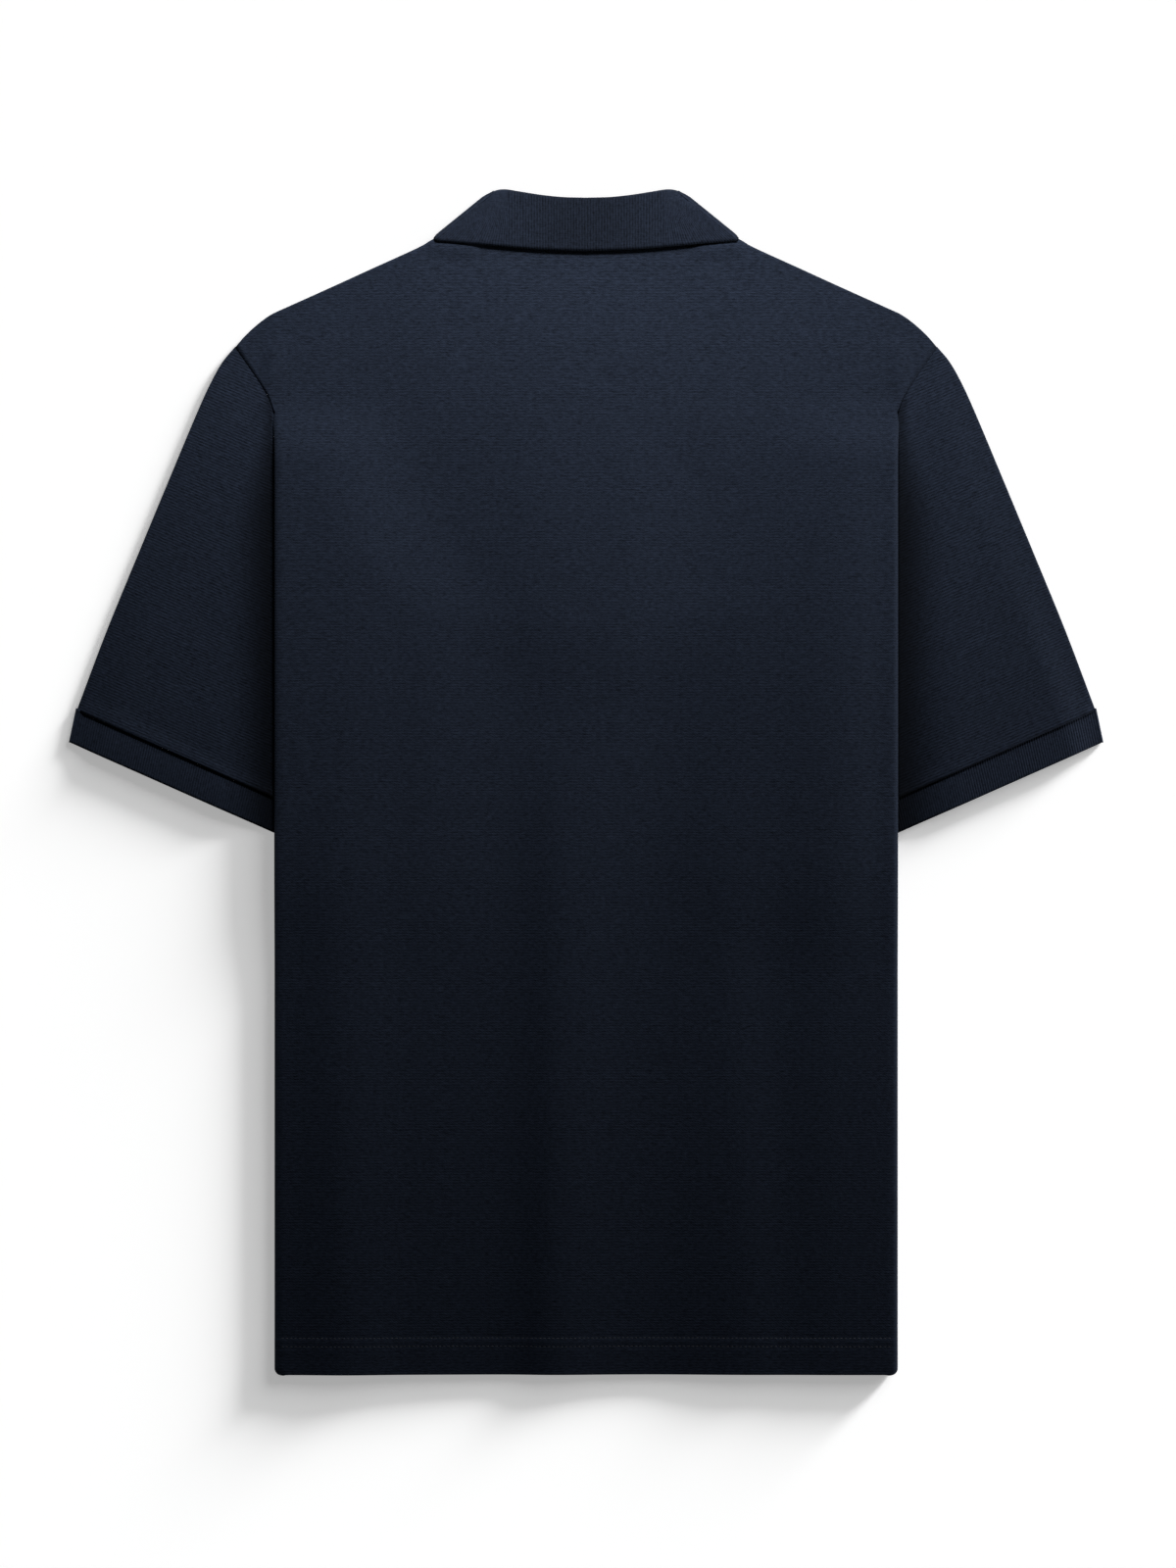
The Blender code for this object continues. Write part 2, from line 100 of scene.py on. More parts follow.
class Curve:
    """A smooth curve through given points, in millimetres."""

    FINE = 24
    COARSE = 60
    BESIDE = 0.01

    def __init__(self, points: Points, smooth: bool = True) -> None:
        """Trace the curve.

        Args:
            points: the points it passes through.
            smooth: whether it bends smoothly through them, or runs straight between them.
        """
        rough = np.array(points, dtype=float)
        if smooth and len(rough) > 2:
            rough = self._bent(rough)
        self.path = rough
        steps = np.hypot(*np.diff(rough, axis=0).T)
        self.length = float(steps.sum())
        self.travelled = np.concatenate([[0.0], np.cumsum(steps)]) / self.length

    def _bent(self, rough: np.ndarray) -> np.ndarray:
        """Fine points of a Catmull-Rom curve through the rough ones."""
        ends = np.vstack([2 * rough[0] - rough[1], rough, 2 * rough[-1] - rough[-2]])
        t = np.linspace(0, 1, self.FINE, endpoint=False)[:, None]
        pieces = []
        for a, b, c, d in zip(ends, ends[1:], ends[2:], ends[3:]):
            reach = np.hypot(*(c - b))
            into = (c - a) / max(np.hypot(*(c - a)), 1e-9) * reach
            out = (d - b) / max(np.hypot(*(d - b)), 1e-9) * reach
            pieces.append(
                b * (2 * t**3 - 3 * t**2 + 1)
                + into * (t**3 - 2 * t**2 + t)
                + c * (3 * t**2 - 2 * t**3)
                + out * (t**3 - t**2)
            )
        return np.vstack([*pieces, rough[-1:]])

    def at(self, share: np.ndarray | float) -> np.ndarray:
        """Points a share of the way along, 0 to 1."""
        x, y = self.path.T
        return np.stack([np.interp(share, self.travelled, values) for values in (x, y)], axis=-1)

    def normal(self, share: np.ndarray | float, turned: int) -> np.ndarray:
        """Unit vectors square to the curve, to its left (+1) or right (-1)."""
        ahead, behind = np.add(share, self.BESIDE), np.subtract(share, self.BESIDE)
        run = unit(self.at(np.minimum(ahead, 1)) - self.at(np.maximum(behind, 0)))
        return np.stack([-run[..., 1], run[..., 0]], axis=-1) * turned

    def x_at(self, y: np.ndarray | float) -> np.ndarray:
        """The curve's x at a height, where y only rises or only falls along it."""
        order = np.argsort(self.path[:, 1])
        return np.interp(y, self.path[order, 1], self.path[order, 0])

    def y_at(self, x: np.ndarray | float) -> np.ndarray:
        """The curve's y at an x, where x only rises along it."""
        return np.interp(x, self.path[:, 0], self.path[:, 1])

    def distance(self, x: np.ndarray, y: np.ndarray) -> np.ndarray:
        """Distance of each (x, y) from the curve."""
        return distance_to(self.path[:: max(1, len(self.path) // self.COARSE)], x, y)


def distance_to(path: np.ndarray, x: np.ndarray, y: np.ndarray) -> np.ndarray:
    """Distance of each (x, y) from a path of straight pieces."""
    nearest = np.full(np.shape(x), np.inf)
    for (ax, ay), (bx, by) in zip(path, path[1:]):
        run, rise = bx - ax, by - ay
        share = np.clip(((x - ax) * run + (y - ay) * rise) / max(run * run + rise * rise, 1e-9), 0, 1)
        nearest = np.minimum(nearest, np.hypot(x - ax - share * run, y - ay - share * rise))
    return nearest


def inside(path: np.ndarray, x: np.ndarray, y: np.ndarray) -> np.ndarray:
    """Which (x, y) lie inside a closed path."""
    within = np.zeros(np.shape(x), dtype=bool)
    for (ax, ay), (bx, by) in zip(path, np.roll(path, -1, axis=0)):
        if ay == by:
            continue
        crosses = (ay > y) != (by > y)
        within ^= crosses & (x < ax + (y - ay) / (by - ay) * (bx - ax))
    return within


@dataclass(frozen=True)
class Crease:
    """A soft ridge (height above 0) or trough (below 0) in a panel, from start to end."""

    start: Span
    end: Span
    height: float
    left: float
    right: float
    bow: float = 0.0
    fade: float = 0.25

    def lift(self, x: np.ndarray, y: np.ndarray) -> np.ndarray:
        """How far the crease lifts the cloth at each (x, y)."""
        run, rise = self.end[0] - self.start[0], self.end[1] - self.start[1]
        length = math.hypot(run, rise)
        along = ((x - self.start[0]) * run + (y - self.start[1]) * rise) / length**2
        aside = ((x - self.start[0]) * rise - (y - self.start[1]) * run) / length
        aside = aside - self.bow * np.sin(np.clip(along, 0, 1) * math.pi)
        width = np.where(aside < 0, self.left, self.right)
        fade = ease(along / self.fade) * ease((1 - along) / self.fade)
        return self.height * fade * np.exp(-((aside / width) ** 2))


@dataclass(frozen=True)
class Cloth:
    """Thicknesses of the cloth and the way its layers stack."""

    wall: float = 1.0
    knit: float = 1.5
    gap: float = 0.3

    @property
    def level(self) -> float:
        """From one layer's middle to the next."""
        return self.wall + self.gap

    @property
    def floor(self) -> float:
        """Height of the middle of the lowest layer."""
        return self.wall / 2

    def turn(self, layer: int) -> float:
        """Radius of a layer's turn round a folded side, the innermost layer being 1."""
        return (layer - 0.5) * self.level


@dataclass(frozen=True)
class Layout:
    """Where the shirt's edges and folds lie, and how its layers lift each other."""

    cloth: Cloth = Cloth()
    edge: float = 200.0
    hem: float = -380.8
    corner_y: float = 237.0
    fade_y: float = 205.0
    side_seam: float = 132.0
    hem_corner: float = 3.8
    puff: float = 2.0
    puff_climb: Span = (108.0, 162.0)
    neck_raise: float = 2.3
    placket_width: float = 32.0
    placket_foot: float = 113.0
    side_climb: Span = (-95.0, -15.0)
    edge_climb: Span = (249.0, 205.0)
    sleeve_climb: Span = (-130.0, -50.0)
    neck_climb: Span = (76.0, 6.0)
    placket_climb: Span = (70.0, 0.0)
    placket_end: Span = (330.0, 281.0)
    collar_spread: Points = ((62, 246), (100, 346), (62, 384))
    shoulder: Curve = Curve(
        (
            (82, 354.8), (98, 347.8), (106, 343.1), (140, 327.8), (180, 309.8), (194, 303.5),
            (203, 299.2), (212.1, 292.4), (220, 284.9), (225.4, 278.4),
        )
    )
    armhole: Curve = Curve(
        ((200, 237), (203.2, 245.1), (208, 253.2), (213.6, 261.5), (219.4, 269.9), (225.4, 278.4))
    )
    underarm: Curve = Curve(
        ((132, 105), (137.5, 113), (152, 130), (168.5, 150), (182, 170), (191.5, 190), (196.9, 205))
    )
    neck_front: Curve = Curve(
        ((0, 268), (16, 270.4), (40, 285.7), (62, 314.5), (82, 354.8)), smooth=False
    )
    neck_back: Curve = Curve(
        ((0, 345), (16, 345.3), (40, 347.1), (62, 350.3), (82, 354.8)), smooth=False
    )

    @property
    def turn_start(self) -> float:
        """Where a side begins to turn under."""
        return self.edge - self.cloth.wall / 2 - self.cloth.turn(2)

    def under_edge(self, y: np.ndarray | float) -> np.ndarray:
        """Share by which a side is turned under at this height."""
        return climb(y, *self.edge_climb)

    def under_sleeve(self, y: np.ndarray | float) -> np.ndarray:
        """Share of the sleeve's two layers under a turned side at this height."""
        return climb(y, *self.sleeve_climb) * self.under_edge(y)

    def side_lift(self, x: np.ndarray, y: np.ndarray) -> np.ndarray:
        """What the turned sides, and the sleeves below them, raise the panels by."""
        layers = 2 * self.cloth.level * (self.under_edge(y) + self.under_sleeve(y))
        return layers * climb(np.abs(x) - self.underarm.x_at(y), *self.side_climb)

    def neck_lift(self, x: np.ndarray, y: np.ndarray) -> np.ndarray:
        """What the collar's front leaf and the buttons raise the panels by."""
        half, foot = self.placket_width / 2, self.placket_foot
        right = [(half, foot), (half, self.collar_spread[0][1]), *self.collar_spread]
        outline = np.array(right + [(-a, b) for a, b in reversed(right)])
        away = distance_to(np.vstack([outline, outline[:1]]), x, y)
        away = np.where(inside(outline, x, y), 0.0, away)
        return self.neck_raise * climb(away, *self.neck_climb)

    def placket_lift(self, x: np.ndarray, y: np.ndarray) -> np.ndarray:
        """What the inner placket band raises the back panel by."""
        aside = climb(np.abs(x) - self.placket_width / 2, *self.placket_climb)
        below = climb(self.placket_foot - y, *self.placket_climb)
        return self.cloth.level * aside * below * climb(y, *self.placket_end)

    def drawn_in(self, y: np.ndarray | float) -> np.ndarray:
        """How far a rounded hem corner draws the side in at this height."""
        left = np.clip(self.hem + self.hem_corner - np.asarray(y, dtype=float), 0, self.hem_corner)
        return self.hem_corner - np.sqrt(self.hem_corner**2 - left**2)

    def roll(self, y: np.ndarray | float) -> np.ndarray:
        """How much thicker than its pressed layers a side's soft roll is at this height."""
        return self.puff * self.under_edge(y)

    def front(self, x: np.ndarray, y: np.ndarray) -> np.ndarray:
        """Middle of the front panel above the floor."""
        roll = self.roll(y) * climb(np.abs(x), *self.puff_climb)
        return self.cloth.floor + self.side_lift(x, y) + self.neck_lift(x, y) + roll

    def back(self, x: np.ndarray, y: np.ndarray) -> np.ndarray:
        """Middle of the back panel above the floor, without its creases."""
        return self.front(x, y) + self.cloth.level + self.placket_lift(x, y)


# ------------------------------------------------------------------------------------- finishes


class NodeSheet:
    """A material's node tree, with short calls for the nodes a knit needs."""

    def __init__(self, name: str) -> None:
        """Start a material of that name with an empty tree."""
        self.material = bpy.data.materials.new(name)
        self.material.use_nodes = True
        self.tree = self.material.node_tree
        self.shader = self.tree.nodes["Principled BSDF"]

    def add(self, kind: str, **settings: object) -> bpy.types.Node:
        """Add a node and set its properties."""
        node = self.tree.nodes.new(kind)
        for key, value in settings.items():
            setattr(node, key, value)
        return node

    def link(self, source: Socket, target: Socket) -> None:
        """Join two sockets."""
        self.tree.links.new(source, target)

    def math(self, operation: str, *values: object) -> Socket:
        """A Math node fed by sockets or numbers.

        Args:
            operation: the node's operation.
            values: its inputs, in order.

        Returns:
            The node's output.
        """
        node = self.add("ShaderNodeMath", operation=operation)
        for socket, value in zip(node.inputs, values):
            if isinstance(value, Socket):
                self.link(value, socket)
            else:
                socket.default_value = value
        return node.outputs[0]

    def place(self, turn: float) -> tuple[Socket, Socket, Socket]:
        """Coordinates in metres, turned about Z.

        Args:
            turn: degrees from +Y.

        Returns:
            The turned vector and its X and Y.
        """
        where = self.add("ShaderNodeTexCoord")
        turned = self.add("ShaderNodeMapping")
        turned.inputs["Rotation"].default_value = (0, 0, -math.radians(turn))
        self.link(where.outputs["Object"], turned.inputs["Vector"])
        split = self.add("ShaderNodeSeparateXYZ")
        self.link(turned.outputs["Vector"], split.inputs[0])
        return turned.outputs["Vector"], split.outputs["X"], split.outputs["Y"]

    def noise(self, vector: Socket, size: float, detail: float = 2.0) -> Socket:
        """Noise with features of about that size in millimetres."""
        node = self.add("ShaderNodeTexNoise")
        node.inputs["Scale"].default_value = 1 / (size * MM)
        node.inputs["Detail"].default_value = detail
        self.link(vector, node.inputs["Vector"])
        return node.outputs["Fac"]

    def stretched(self, vector: Socket, x: float, y: float) -> Socket:
        """The vector with its X and Y scaled, which draws a noise out where they are below 1."""
        node = self.add("ShaderNodeMapping")
        node.inputs["Scale"].default_value = (x, y, 1.0)
        self.link(vector, node.inputs["Vector"])
        return node.outputs["Vector"]

    def wave(self, coordinate: Socket, pitch: float, shift: object = 0.0) -> Socket:
        """A sine of a coordinate, one cycle to every pitch in millimetres."""
        turns = self.math("MULTIPLY_ADD", coordinate, 2 * math.pi / (pitch * MM), shift)
        return self.math("SINE", turns)

    def ramp(self, value: Socket, low: Colour, high: Colour) -> Socket:
        """A colour between low and high."""
        node = self.add("ShaderNodeValToRGB")
        node.color_ramp.elements[0].color = low
        node.color_ramp.elements[1].color = high
        self.link(value, node.inputs["Fac"])
        return node.outputs["Color"]

    def bump(self, height: Socket, depth: float, below: object = None) -> Socket:
        """A Bump node of that depth in millimetres, over another if given."""
        node = self.add("ShaderNodeBump")
        node.inputs["Distance"].default_value = depth * MM
        self.link(height, node.inputs["Height"])
        if below is not None:
            self.link(below, node.inputs["Normal"])
        return node.outputs["Normal"]


def tint(colour: Colour, factor: float) -> Colour:
    """The colour made lighter or darker."""
    red, green, blue, alpha = colour
    return (red * factor, green * factor, blue * factor, alpha)


@dataclass(frozen=True)
class KnitFinish:
    """Matt cotton knit: what pique and rib share."""

    name: str
    colour: Colour
    grain: Grain = Grain.BODY
    roughness: float = 0.92
    specular: float = 0.05
    sheen: float = 0.02
    dark: float = 0.25
    light: float = 1.75
    course_grain: float = 0.62
    wale_grain: float = 0.60
    # Strength of the painted shade from the knit's own height: darker in its pits and furrows.
    knit_shade_tone: float = 0.14
    course_tone: float = 1.25
    wale_tone: float = 0.40
    relief: float = 0.10
    drawn_out: Three = (0.2, 0.25, 0.3)
    fibre_size: float = 0.45
    fibre_tone: float = 0.18
    broad_size: float = 9.0
    broad_tone: float = 0.07
    fibre_relief: float = 0.03
    course_relief: float = 0.10
    rough_spread: float = 0.1
    sheen_roughness: float = 0.5
    sheen_tint: Colour = (0.60, 0.75, 1.0, 1.0)

    def stitches(self, sheet: NodeSheet, place: Socket, x: Socket,
                 y: Socket) -> Socket:
        """Height of the knit, 0 to 1."""
        raise NotImplementedError

    def shade(self, sheet: NodeSheet, colour: Socket) -> Socket:
        """Darken the colour by the mesh's painted shade, which is shade and shadow painted into the colour
        and is 1 where none is painted.

        Args:
            sheet: the material being made.
            colour: the knit's colour.

        Returns:
            The colour darkened by the painted shade.
        """
        deep = sheet.add("ShaderNodeVectorMath", operation="SCALE")
        sheet.link(colour, deep.inputs[0])
        painted_shade = sheet.add("ShaderNodeAttribute", attribute_name=SHADE)
        sheet.link(painted_shade.outputs["Fac"], deep.inputs["Scale"])
        return deep.outputs[0]

    def material(self) -> bpy.types.Material:
        """The knit as a material."""
        sheet = NodeSheet(self.name)
        place, x, y = sheet.place(self.grain.value)
        knit = self.stitches(sheet, place, x, y)
        along_courses, along_wales, broadly = self.drawn_out
        fibre = sheet.noise(place, self.fibre_size, 3.0)
        courses = sheet.noise(sheet.stretched(place, along_courses, 1.0), self.course_grain, 1.0)
        wales = sheet.noise(sheet.stretched(place, 1.0, along_wales), self.wale_grain, 2.0)
        broad = sheet.noise(sheet.stretched(place, broadly, 1.0), self.broad_size, 2.0)
        # The colour's tone: random variation in the yarn, plus painted shade from the knit's height, darker
        # in its pits and furrows.
        tone = 0.5
        for part, weight in (
            (knit, self.knit_shade_tone), (courses, self.course_tone), (wales, self.wale_tone),
            (fibre, self.fibre_tone), (broad, self.broad_tone),
        ):
            tone = sheet.math("MULTIPLY_ADD", sheet.math("SUBTRACT", part, 0.5), weight, tone)
        colour = sheet.ramp(tone, tint(self.colour, self.dark), tint(self.colour, self.light))
        sheet.link(self.shade(sheet, colour), sheet.shader.inputs["Base Color"])
        smoothest = self.roughness - self.rough_spread / 2
        rough = sheet.math("MULTIPLY_ADD", fibre, self.rough_spread, smoothest)
        sheet.link(rough, sheet.shader.inputs["Roughness"])
        knitted = sheet.bump(courses, self.course_relief, sheet.bump(knit, self.relief))
        normal = sheet.bump(fibre, self.fibre_relief, knitted)
        sheet.link(normal, sheet.shader.inputs["Normal"])
        sheet.shader.inputs["Specular IOR Level"].default_value = self.specular
        sheet.shader.inputs["Sheen Weight"].default_value = self.sheen
        sheet.shader.inputs["Sheen Roughness"].default_value = self.sheen_roughness
        sheet.shader.inputs["Sheen Tint"].default_value = self.sheen_tint
        return sheet.material


@dataclass(frozen=True)
class PiqueFinish(KnitFinish):
    """Pique: a small raised honeycomb in rows across the cloth, its pits darkened in the colour with painted
    shade.
    """

    wale: float = 1.9
    course: float = 1.5
    row_pitch: float = 1.2
    rows: float = 0.45
    drift: Three = (2.0, 5.0, 2.0)
    knit_shade_tone: float = 0.30

    def stitches(self, sheet: NodeSheet, place: Socket, x: Socket,
                 y: Socket) -> Socket:
        """Height of the honeycomb and its rows, 0 to 1."""
        size, cell_drift, row_drift = self.drift
        drift = sheet.noise(place, size)
        shift = sheet.math("MULTIPLY", drift, cell_drift)
        wales, courses = sheet.wave(x, self.wale, shift), sheet.wave(y, self.course, shift)
        cells = sheet.math("MULTIPLY", wales, courses)
        rows = sheet.wave(y, self.course * self.row_pitch, sheet.math("MULTIPLY", drift, row_drift))
        both = sheet.math("MULTIPLY_ADD", rows, self.rows / 2, 0.5)
        return sheet.math("MULTIPLY_ADD", cells, (1 - self.rows) / 2, both)


@dataclass(frozen=True)
class RibFinish(KnitFinish):
    """Rib knit: narrow columns of loops between furrows, whose shade is painted into the colour."""

    course: float = 1.1
    loops: float = 0.12
    relief: float = 0.06
    course_tone: float = 0.70
    wale_tone: float = 1.20
    knit_shade_tone: float = 0.45

    def stitches(self, sheet: NodeSheet, place: Socket, x: Socket,
                 y: Socket) -> Socket:
        """Height of the ribs and their loops, 0 to 1."""
        counted = sheet.add("ShaderNodeAttribute", attribute_name=RIBS).outputs["Fac"]
        turns = sheet.math("MULTIPLY", counted, 2 * math.pi)
        rib = sheet.math("MULTIPLY_ADD", sheet.math("COSINE", turns), 0.5, 0.5)
        loops = sheet.math("MULTIPLY_ADD", sheet.wave(y, self.course), 0.5, 0.5)
        return sheet.math("MULTIPLY_ADD", loops, self.loops, sheet.math("MULTIPLY", rib, 1 - self.loops))


@dataclass(frozen=True)
class ThreadFinish:
    """Spun polyester sewing thread, a shade smoother than the cloth."""

    name: str
    colour: Colour
    roughness: float = 0.55
    lay: float = 40.0
    ply: float = 0.45
    dark: float = 0.7
    light: float = 1.3
    relief: float = 0.05

    def material(self) -> bpy.types.Material:
        """The thread as a material."""
        sheet = NodeSheet(self.name)
        _, x, _ = sheet.place(self.lay)
        # The twist's wave sets both the relief and the colour: painted shade makes its grooves darker.
        twist = sheet.math("MULTIPLY_ADD", sheet.wave(x, self.ply), 0.5, 0.5)
        colour = sheet.ramp(twist, tint(self.colour, self.dark), tint(self.colour, self.light))
        sheet.link(colour, sheet.shader.inputs["Base Color"])
        sheet.link(sheet.bump(twist, self.relief), sheet.shader.inputs["Normal"])
        sheet.shader.inputs["Roughness"].default_value = self.roughness
        return sheet.material


@dataclass(frozen=True)
class ButtonFinish:
    """Dark moulded plastic with a faint horn-like cloud."""

    name: str
    colour: Colour
    roughness: float = 0.28
    rough_spread: float = 0.15
    cloud: float = 4.0
    dark: float = 0.7
    light: float = 1.6
    scuff: float = 0.7
    relief: float = 0.01

    def material(self) -> bpy.types.Material:
        """The plastic as a material."""
        sheet = NodeSheet(self.name)
        place, _, _ = sheet.place(0.0)
        cloud = sheet.noise(place, self.cloud, 4.0)
        colour = sheet.ramp(cloud, tint(self.colour, self.dark), tint(self.colour, self.light))
        sheet.link(colour, sheet.shader.inputs["Base Color"])
        scuffs = sheet.noise(place, self.scuff, 3.0)
        rough = sheet.math("MULTIPLY_ADD", scuffs, self.rough_spread, self.roughness)
        sheet.link(rough, sheet.shader.inputs["Roughness"])
        sheet.link(sheet.bump(scuffs, self.relief), sheet.shader.inputs["Normal"])
        return sheet.material


@dataclass(frozen=True)
class TableFinish:
    """Plain pale paper on a light table, which the shirt lies on."""

    colour: Colour = (0.95, 0.95, 0.95, 1.0)
    glow: float = 0.36
    roughness: float = 0.9
    specular: float = 0.1

    def material(self) -> bpy.types.Material:
        """The paper as a material."""
        sheet = NodeSheet("pale_paper")
        sheet.shader.inputs["Base Color"].default_value = self.colour
        sheet.shader.inputs["Emission Color"].default_value = (1, 1, 1, 1)
        sheet.shader.inputs["Emission Strength"].default_value = self.glow
        sheet.shader.inputs["Roughness"].default_value = self.roughness
        sheet.shader.inputs["Specular IOR Level"].default_value = self.specular
        return sheet.material


# --------------------------------------------------------------------------------- mesh making


def placed(name: str, points: np.ndarray, faces: list, finish: bpy.types.Material) -> bpy.types.Object:
    """Put a smooth object with these points, in millimetres, into the scene."""
    mesh = bpy.data.meshes.new(name)
    mesh.from_pydata((points * MM).tolist(), [], faces)
    mesh.materials.append(finish)
    mesh.shade_smooth()
    piece = bpy.data.objects.new(name, mesh)
    bpy.context.scene.collection.objects.link(piece)
    return piece


def loft(name: str, points: np.ndarray, wall: float, finish: bpy.types.Material, tube: bool = False,
         skip: np.ndarray | None = None, shade: np.ndarray | None = None,
         ribs: np.ndarray | None = None) -> bpy.types.Object:
    """Make a sheet of cloth from the grid of points of its middle.

    Args:
        name: the piece's name.
        points: rows by columns by 3, in millimetres.
        wall: the cloth's thickness.
        finish: its material.
        tube: whether the last column joins the first.
        skip: cells that are left open, as a rows by columns mask.
        shade: painted shade at each point, a factor that darkens the cloth's colour, 1 where none is
            painted.
        ribs: how many ribs in each point lies, counted along the knit.

    Returns:
        The new object, with a Solidify modifier for its wall.
    """
    rows, columns = points.shape[:2]
    index = np.arange(rows * columns).reshape(rows, columns)
    if tube:
        index = np.hstack([index, index[:, :1]])
    faces = np.stack([index[:-1, :-1], index[:-1, 1:], index[1:, 1:], index[1:, :-1]], axis=-1)
    if skip is not None:
        faces = faces[~skip]
    faces = faces.reshape(-1, 4)
    used, faces = np.unique(faces, return_inverse=True)
    piece = placed(name, points.reshape(-1, 3)[used], faces.reshape(-1, 4).tolist(), finish)
    # The painted shade is stored on the mesh as a factor on the colour, 1 where none is painted.
    light = np.ones(points.shape[:2]) if shade is None else shade
    counted = np.zeros(points.shape[:2]) if ribs is None else ribs
    for key, values in ((SHADE, light), (RIBS, counted)):
        layer = piece.data.attributes.new(key, "FLOAT", "POINT")
        layer.data.foreach_set("value", values.reshape(-1)[used])
    thick = piece.modifiers.new("Wall", "SOLIDIFY")
    thick.thickness = wall * MM
    thick.offset = 0.0
    thick.use_even_offset = True
    return piece


def seated(piece: bpy.types.Object, slot: str, *nodes: str) -> bpy.types.Object:
    """Tie a piece to the body, and hide the solids it stands for."""
    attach(piece, "root")
    if nodes:
        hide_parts(*nodes)
    return piece


def normals(grid: np.ndarray) -> np.ndarray:
    """Unit normals of a grid of points."""
    down, across = np.gradient(grid, axis=0), np.gradient(grid, axis=1)
    return unit(np.cross(across, down))


LEAF_EDGE = Curve(((0, 340), (33, 341.2), (68, 344.2), (96.3, 346.6)))


@dataclass(frozen=True)
class Panel:
    """One body panel: flat to its turned sides, round the turns and back to the side seams."""

    name: str
    layout: Layout
    radius: float
    step: float
    is_back: bool
    creases: tuple[Crease, ...] = ()
    hem_depth: float = 23.6
    stitch_gap: float = 5.4
    hem_rise: float = 0.3
    hem_edge: float = 1.2
    groove: Span = (-0.2, 0.3)
    groove_width: float = 0.9
    calm: Span = (22.0, 30.0)
    ridge: float = 0.12
    ridge_flat: float = 1.2
    ridge_reach: float = 7.0
    ridge_start: float = 16.0
    leaf_edge: Curve = LEAF_EDGE
    # Painted shade: how far the colour is darkened under the collar leaf's edge, where its shadow falls, and
    # along the armhole seam's groove.
    leaf_shade: float = 0.5
    leaf_reach: float = 6.0
    leaf_fade: float = 40.0
    seam_shade: float = 0.2
    seam_reach: float = 1.3
    held_x: float = 150.0
    yoke_length: float = 220.0
    free_turn: float = 1.6
    turn_steps: int = 8
    tail_steps: int = 10

    @property
    def neck(self) -> Curve:
        """The panel's neckline."""
        return self.layout.neck_back if self.is_back else self.layout.neck_front

    def height(self, x: np.ndarray, y: np.ndarray) -> np.ndarray:
        """Middle of the panel above the floor, with creases, hem band and seam ridge."""
        layout = self.layout
        z = layout.back(x, y) if self.is_back else layout.front(x, y)
        beside, above = self.calm
        calm = np.maximum(slope(np.abs(x), (layout.turn_start, -beside)), slope(y, (layout.corner_y, above)))
        for crease in self.creases:
            z = z + crease.lift(x, y) * calm
        band = layout.hem + self.hem_depth
        groove = self.groove[0 if self.is_back else 1]
        for row in (band, band - self.stitch_gap):
            z = z + groove * np.exp(-(((y - row) / self.groove_width) ** 2))
        if not self.is_back:
            return z
        z = z + self.hem_rise * slope(y, (band + self.hem_edge / 2, -self.hem_edge))
        seam = layout.armhole.distance(np.abs(x), y)
        beside_seam = ease(1 - (seam - self.ridge_flat) / self.ridge_reach)
        along_seam = ease((y - layout.corner_y + self.ridge_start) / self.ridge_start)
        return z + self.ridge * beside_seam * along_seam

    def shade(self, grid: np.ndarray) -> np.ndarray:
        """Painted shade at each point: the colour darkened under the collar leaf's edge, standing in for its
        shadow, and in the armhole seam's groove.
        """
        if not self.is_back:
            return np.ones(grid.shape[:2])
        x, y = np.abs(grid[..., 0]), grid[..., 1]
        leaf = self.leaf_edge.y_at(x) - y
        fading = ease((self.leaf_edge.path[-1, 0] - x) / self.leaf_fade)
        painted_leaf_shadow = self.leaf_shade * ease(1 - leaf / self.leaf_reach) * fading
        seam = self.layout.armhole.distance(x, y)
        painted_seam_shade = self.seam_shade * ease(1 - seam / self.seam_reach) * (y > self.layout.corner_y)
        return (1 - painted_leaf_shadow) * (1 - painted_seam_shade)

    def turned(self, y: float, x: float, z: float) -> np.ndarray:
        """Points from where a side starts to turn under, round the turn and on to the side seam.

        Args:
            y: the row's height.
            x: where the turn starts.
            z: the panel's height there.

        Returns:
            Points of the turn and of the cloth beyond it.
        """
        layout = self.layout
        turn = float(np.clip((layout.corner_y - y) / (layout.corner_y - layout.fade_y), 0, 1))
        angle = math.pi * turn
        radius = self.radius + float(layout.roll(y)) / 2
        length = self.free_turn * (1 - turn) + math.pi * radius * turn
        share = np.arange(1, self.turn_steps + 1) / self.turn_steps
        if turn > 0:
            bend = length / angle
            out, down = bend * np.sin(angle * share), bend * (1 - np.cos(angle * share))
            bent = np.stack([x + out, z - down], axis=-1)
        else:
            bent = np.stack([x + length * share, np.full(self.turn_steps, z)], axis=-1)
        rest = max(layout.turn_start - float(layout.underarm.x_at(y)), 0.5)
        gone = rest * np.arange(1, self.tail_steps + 1) / self.tail_steps
        tail = bent[-1] + np.stack([gone * math.cos(angle), -gone * math.sin(angle)], axis=-1)
        both = np.vstack([bent, tail])
        return np.column_stack([both[:, 0], np.full(len(both), y), both[:, 1]])

    def heights(self) -> np.ndarray:
        """Heights of the rows from the hem up to the foot of the armhole."""
        layout = self.layout
        hem, corner, foot, fade = layout.hem, layout.hem_corner, layout.placket_foot, layout.fade_y
        band = hem + self.hem_depth
        return np.concatenate([
            hem + corner * (1 - np.cos(np.radians(np.arange(0, 90, 15)))),
            np.linspace(hem + corner, band + 2, int(self.hem_depth / min(self.step, 1.0))),
            np.linspace(band + 4, foot, int((foot - band) / self.step)),
            np.linspace(foot, fade, int((fade - foot) / self.step))[1:],
            np.linspace(fade, layout.corner_y, 12)[1:],
        ])

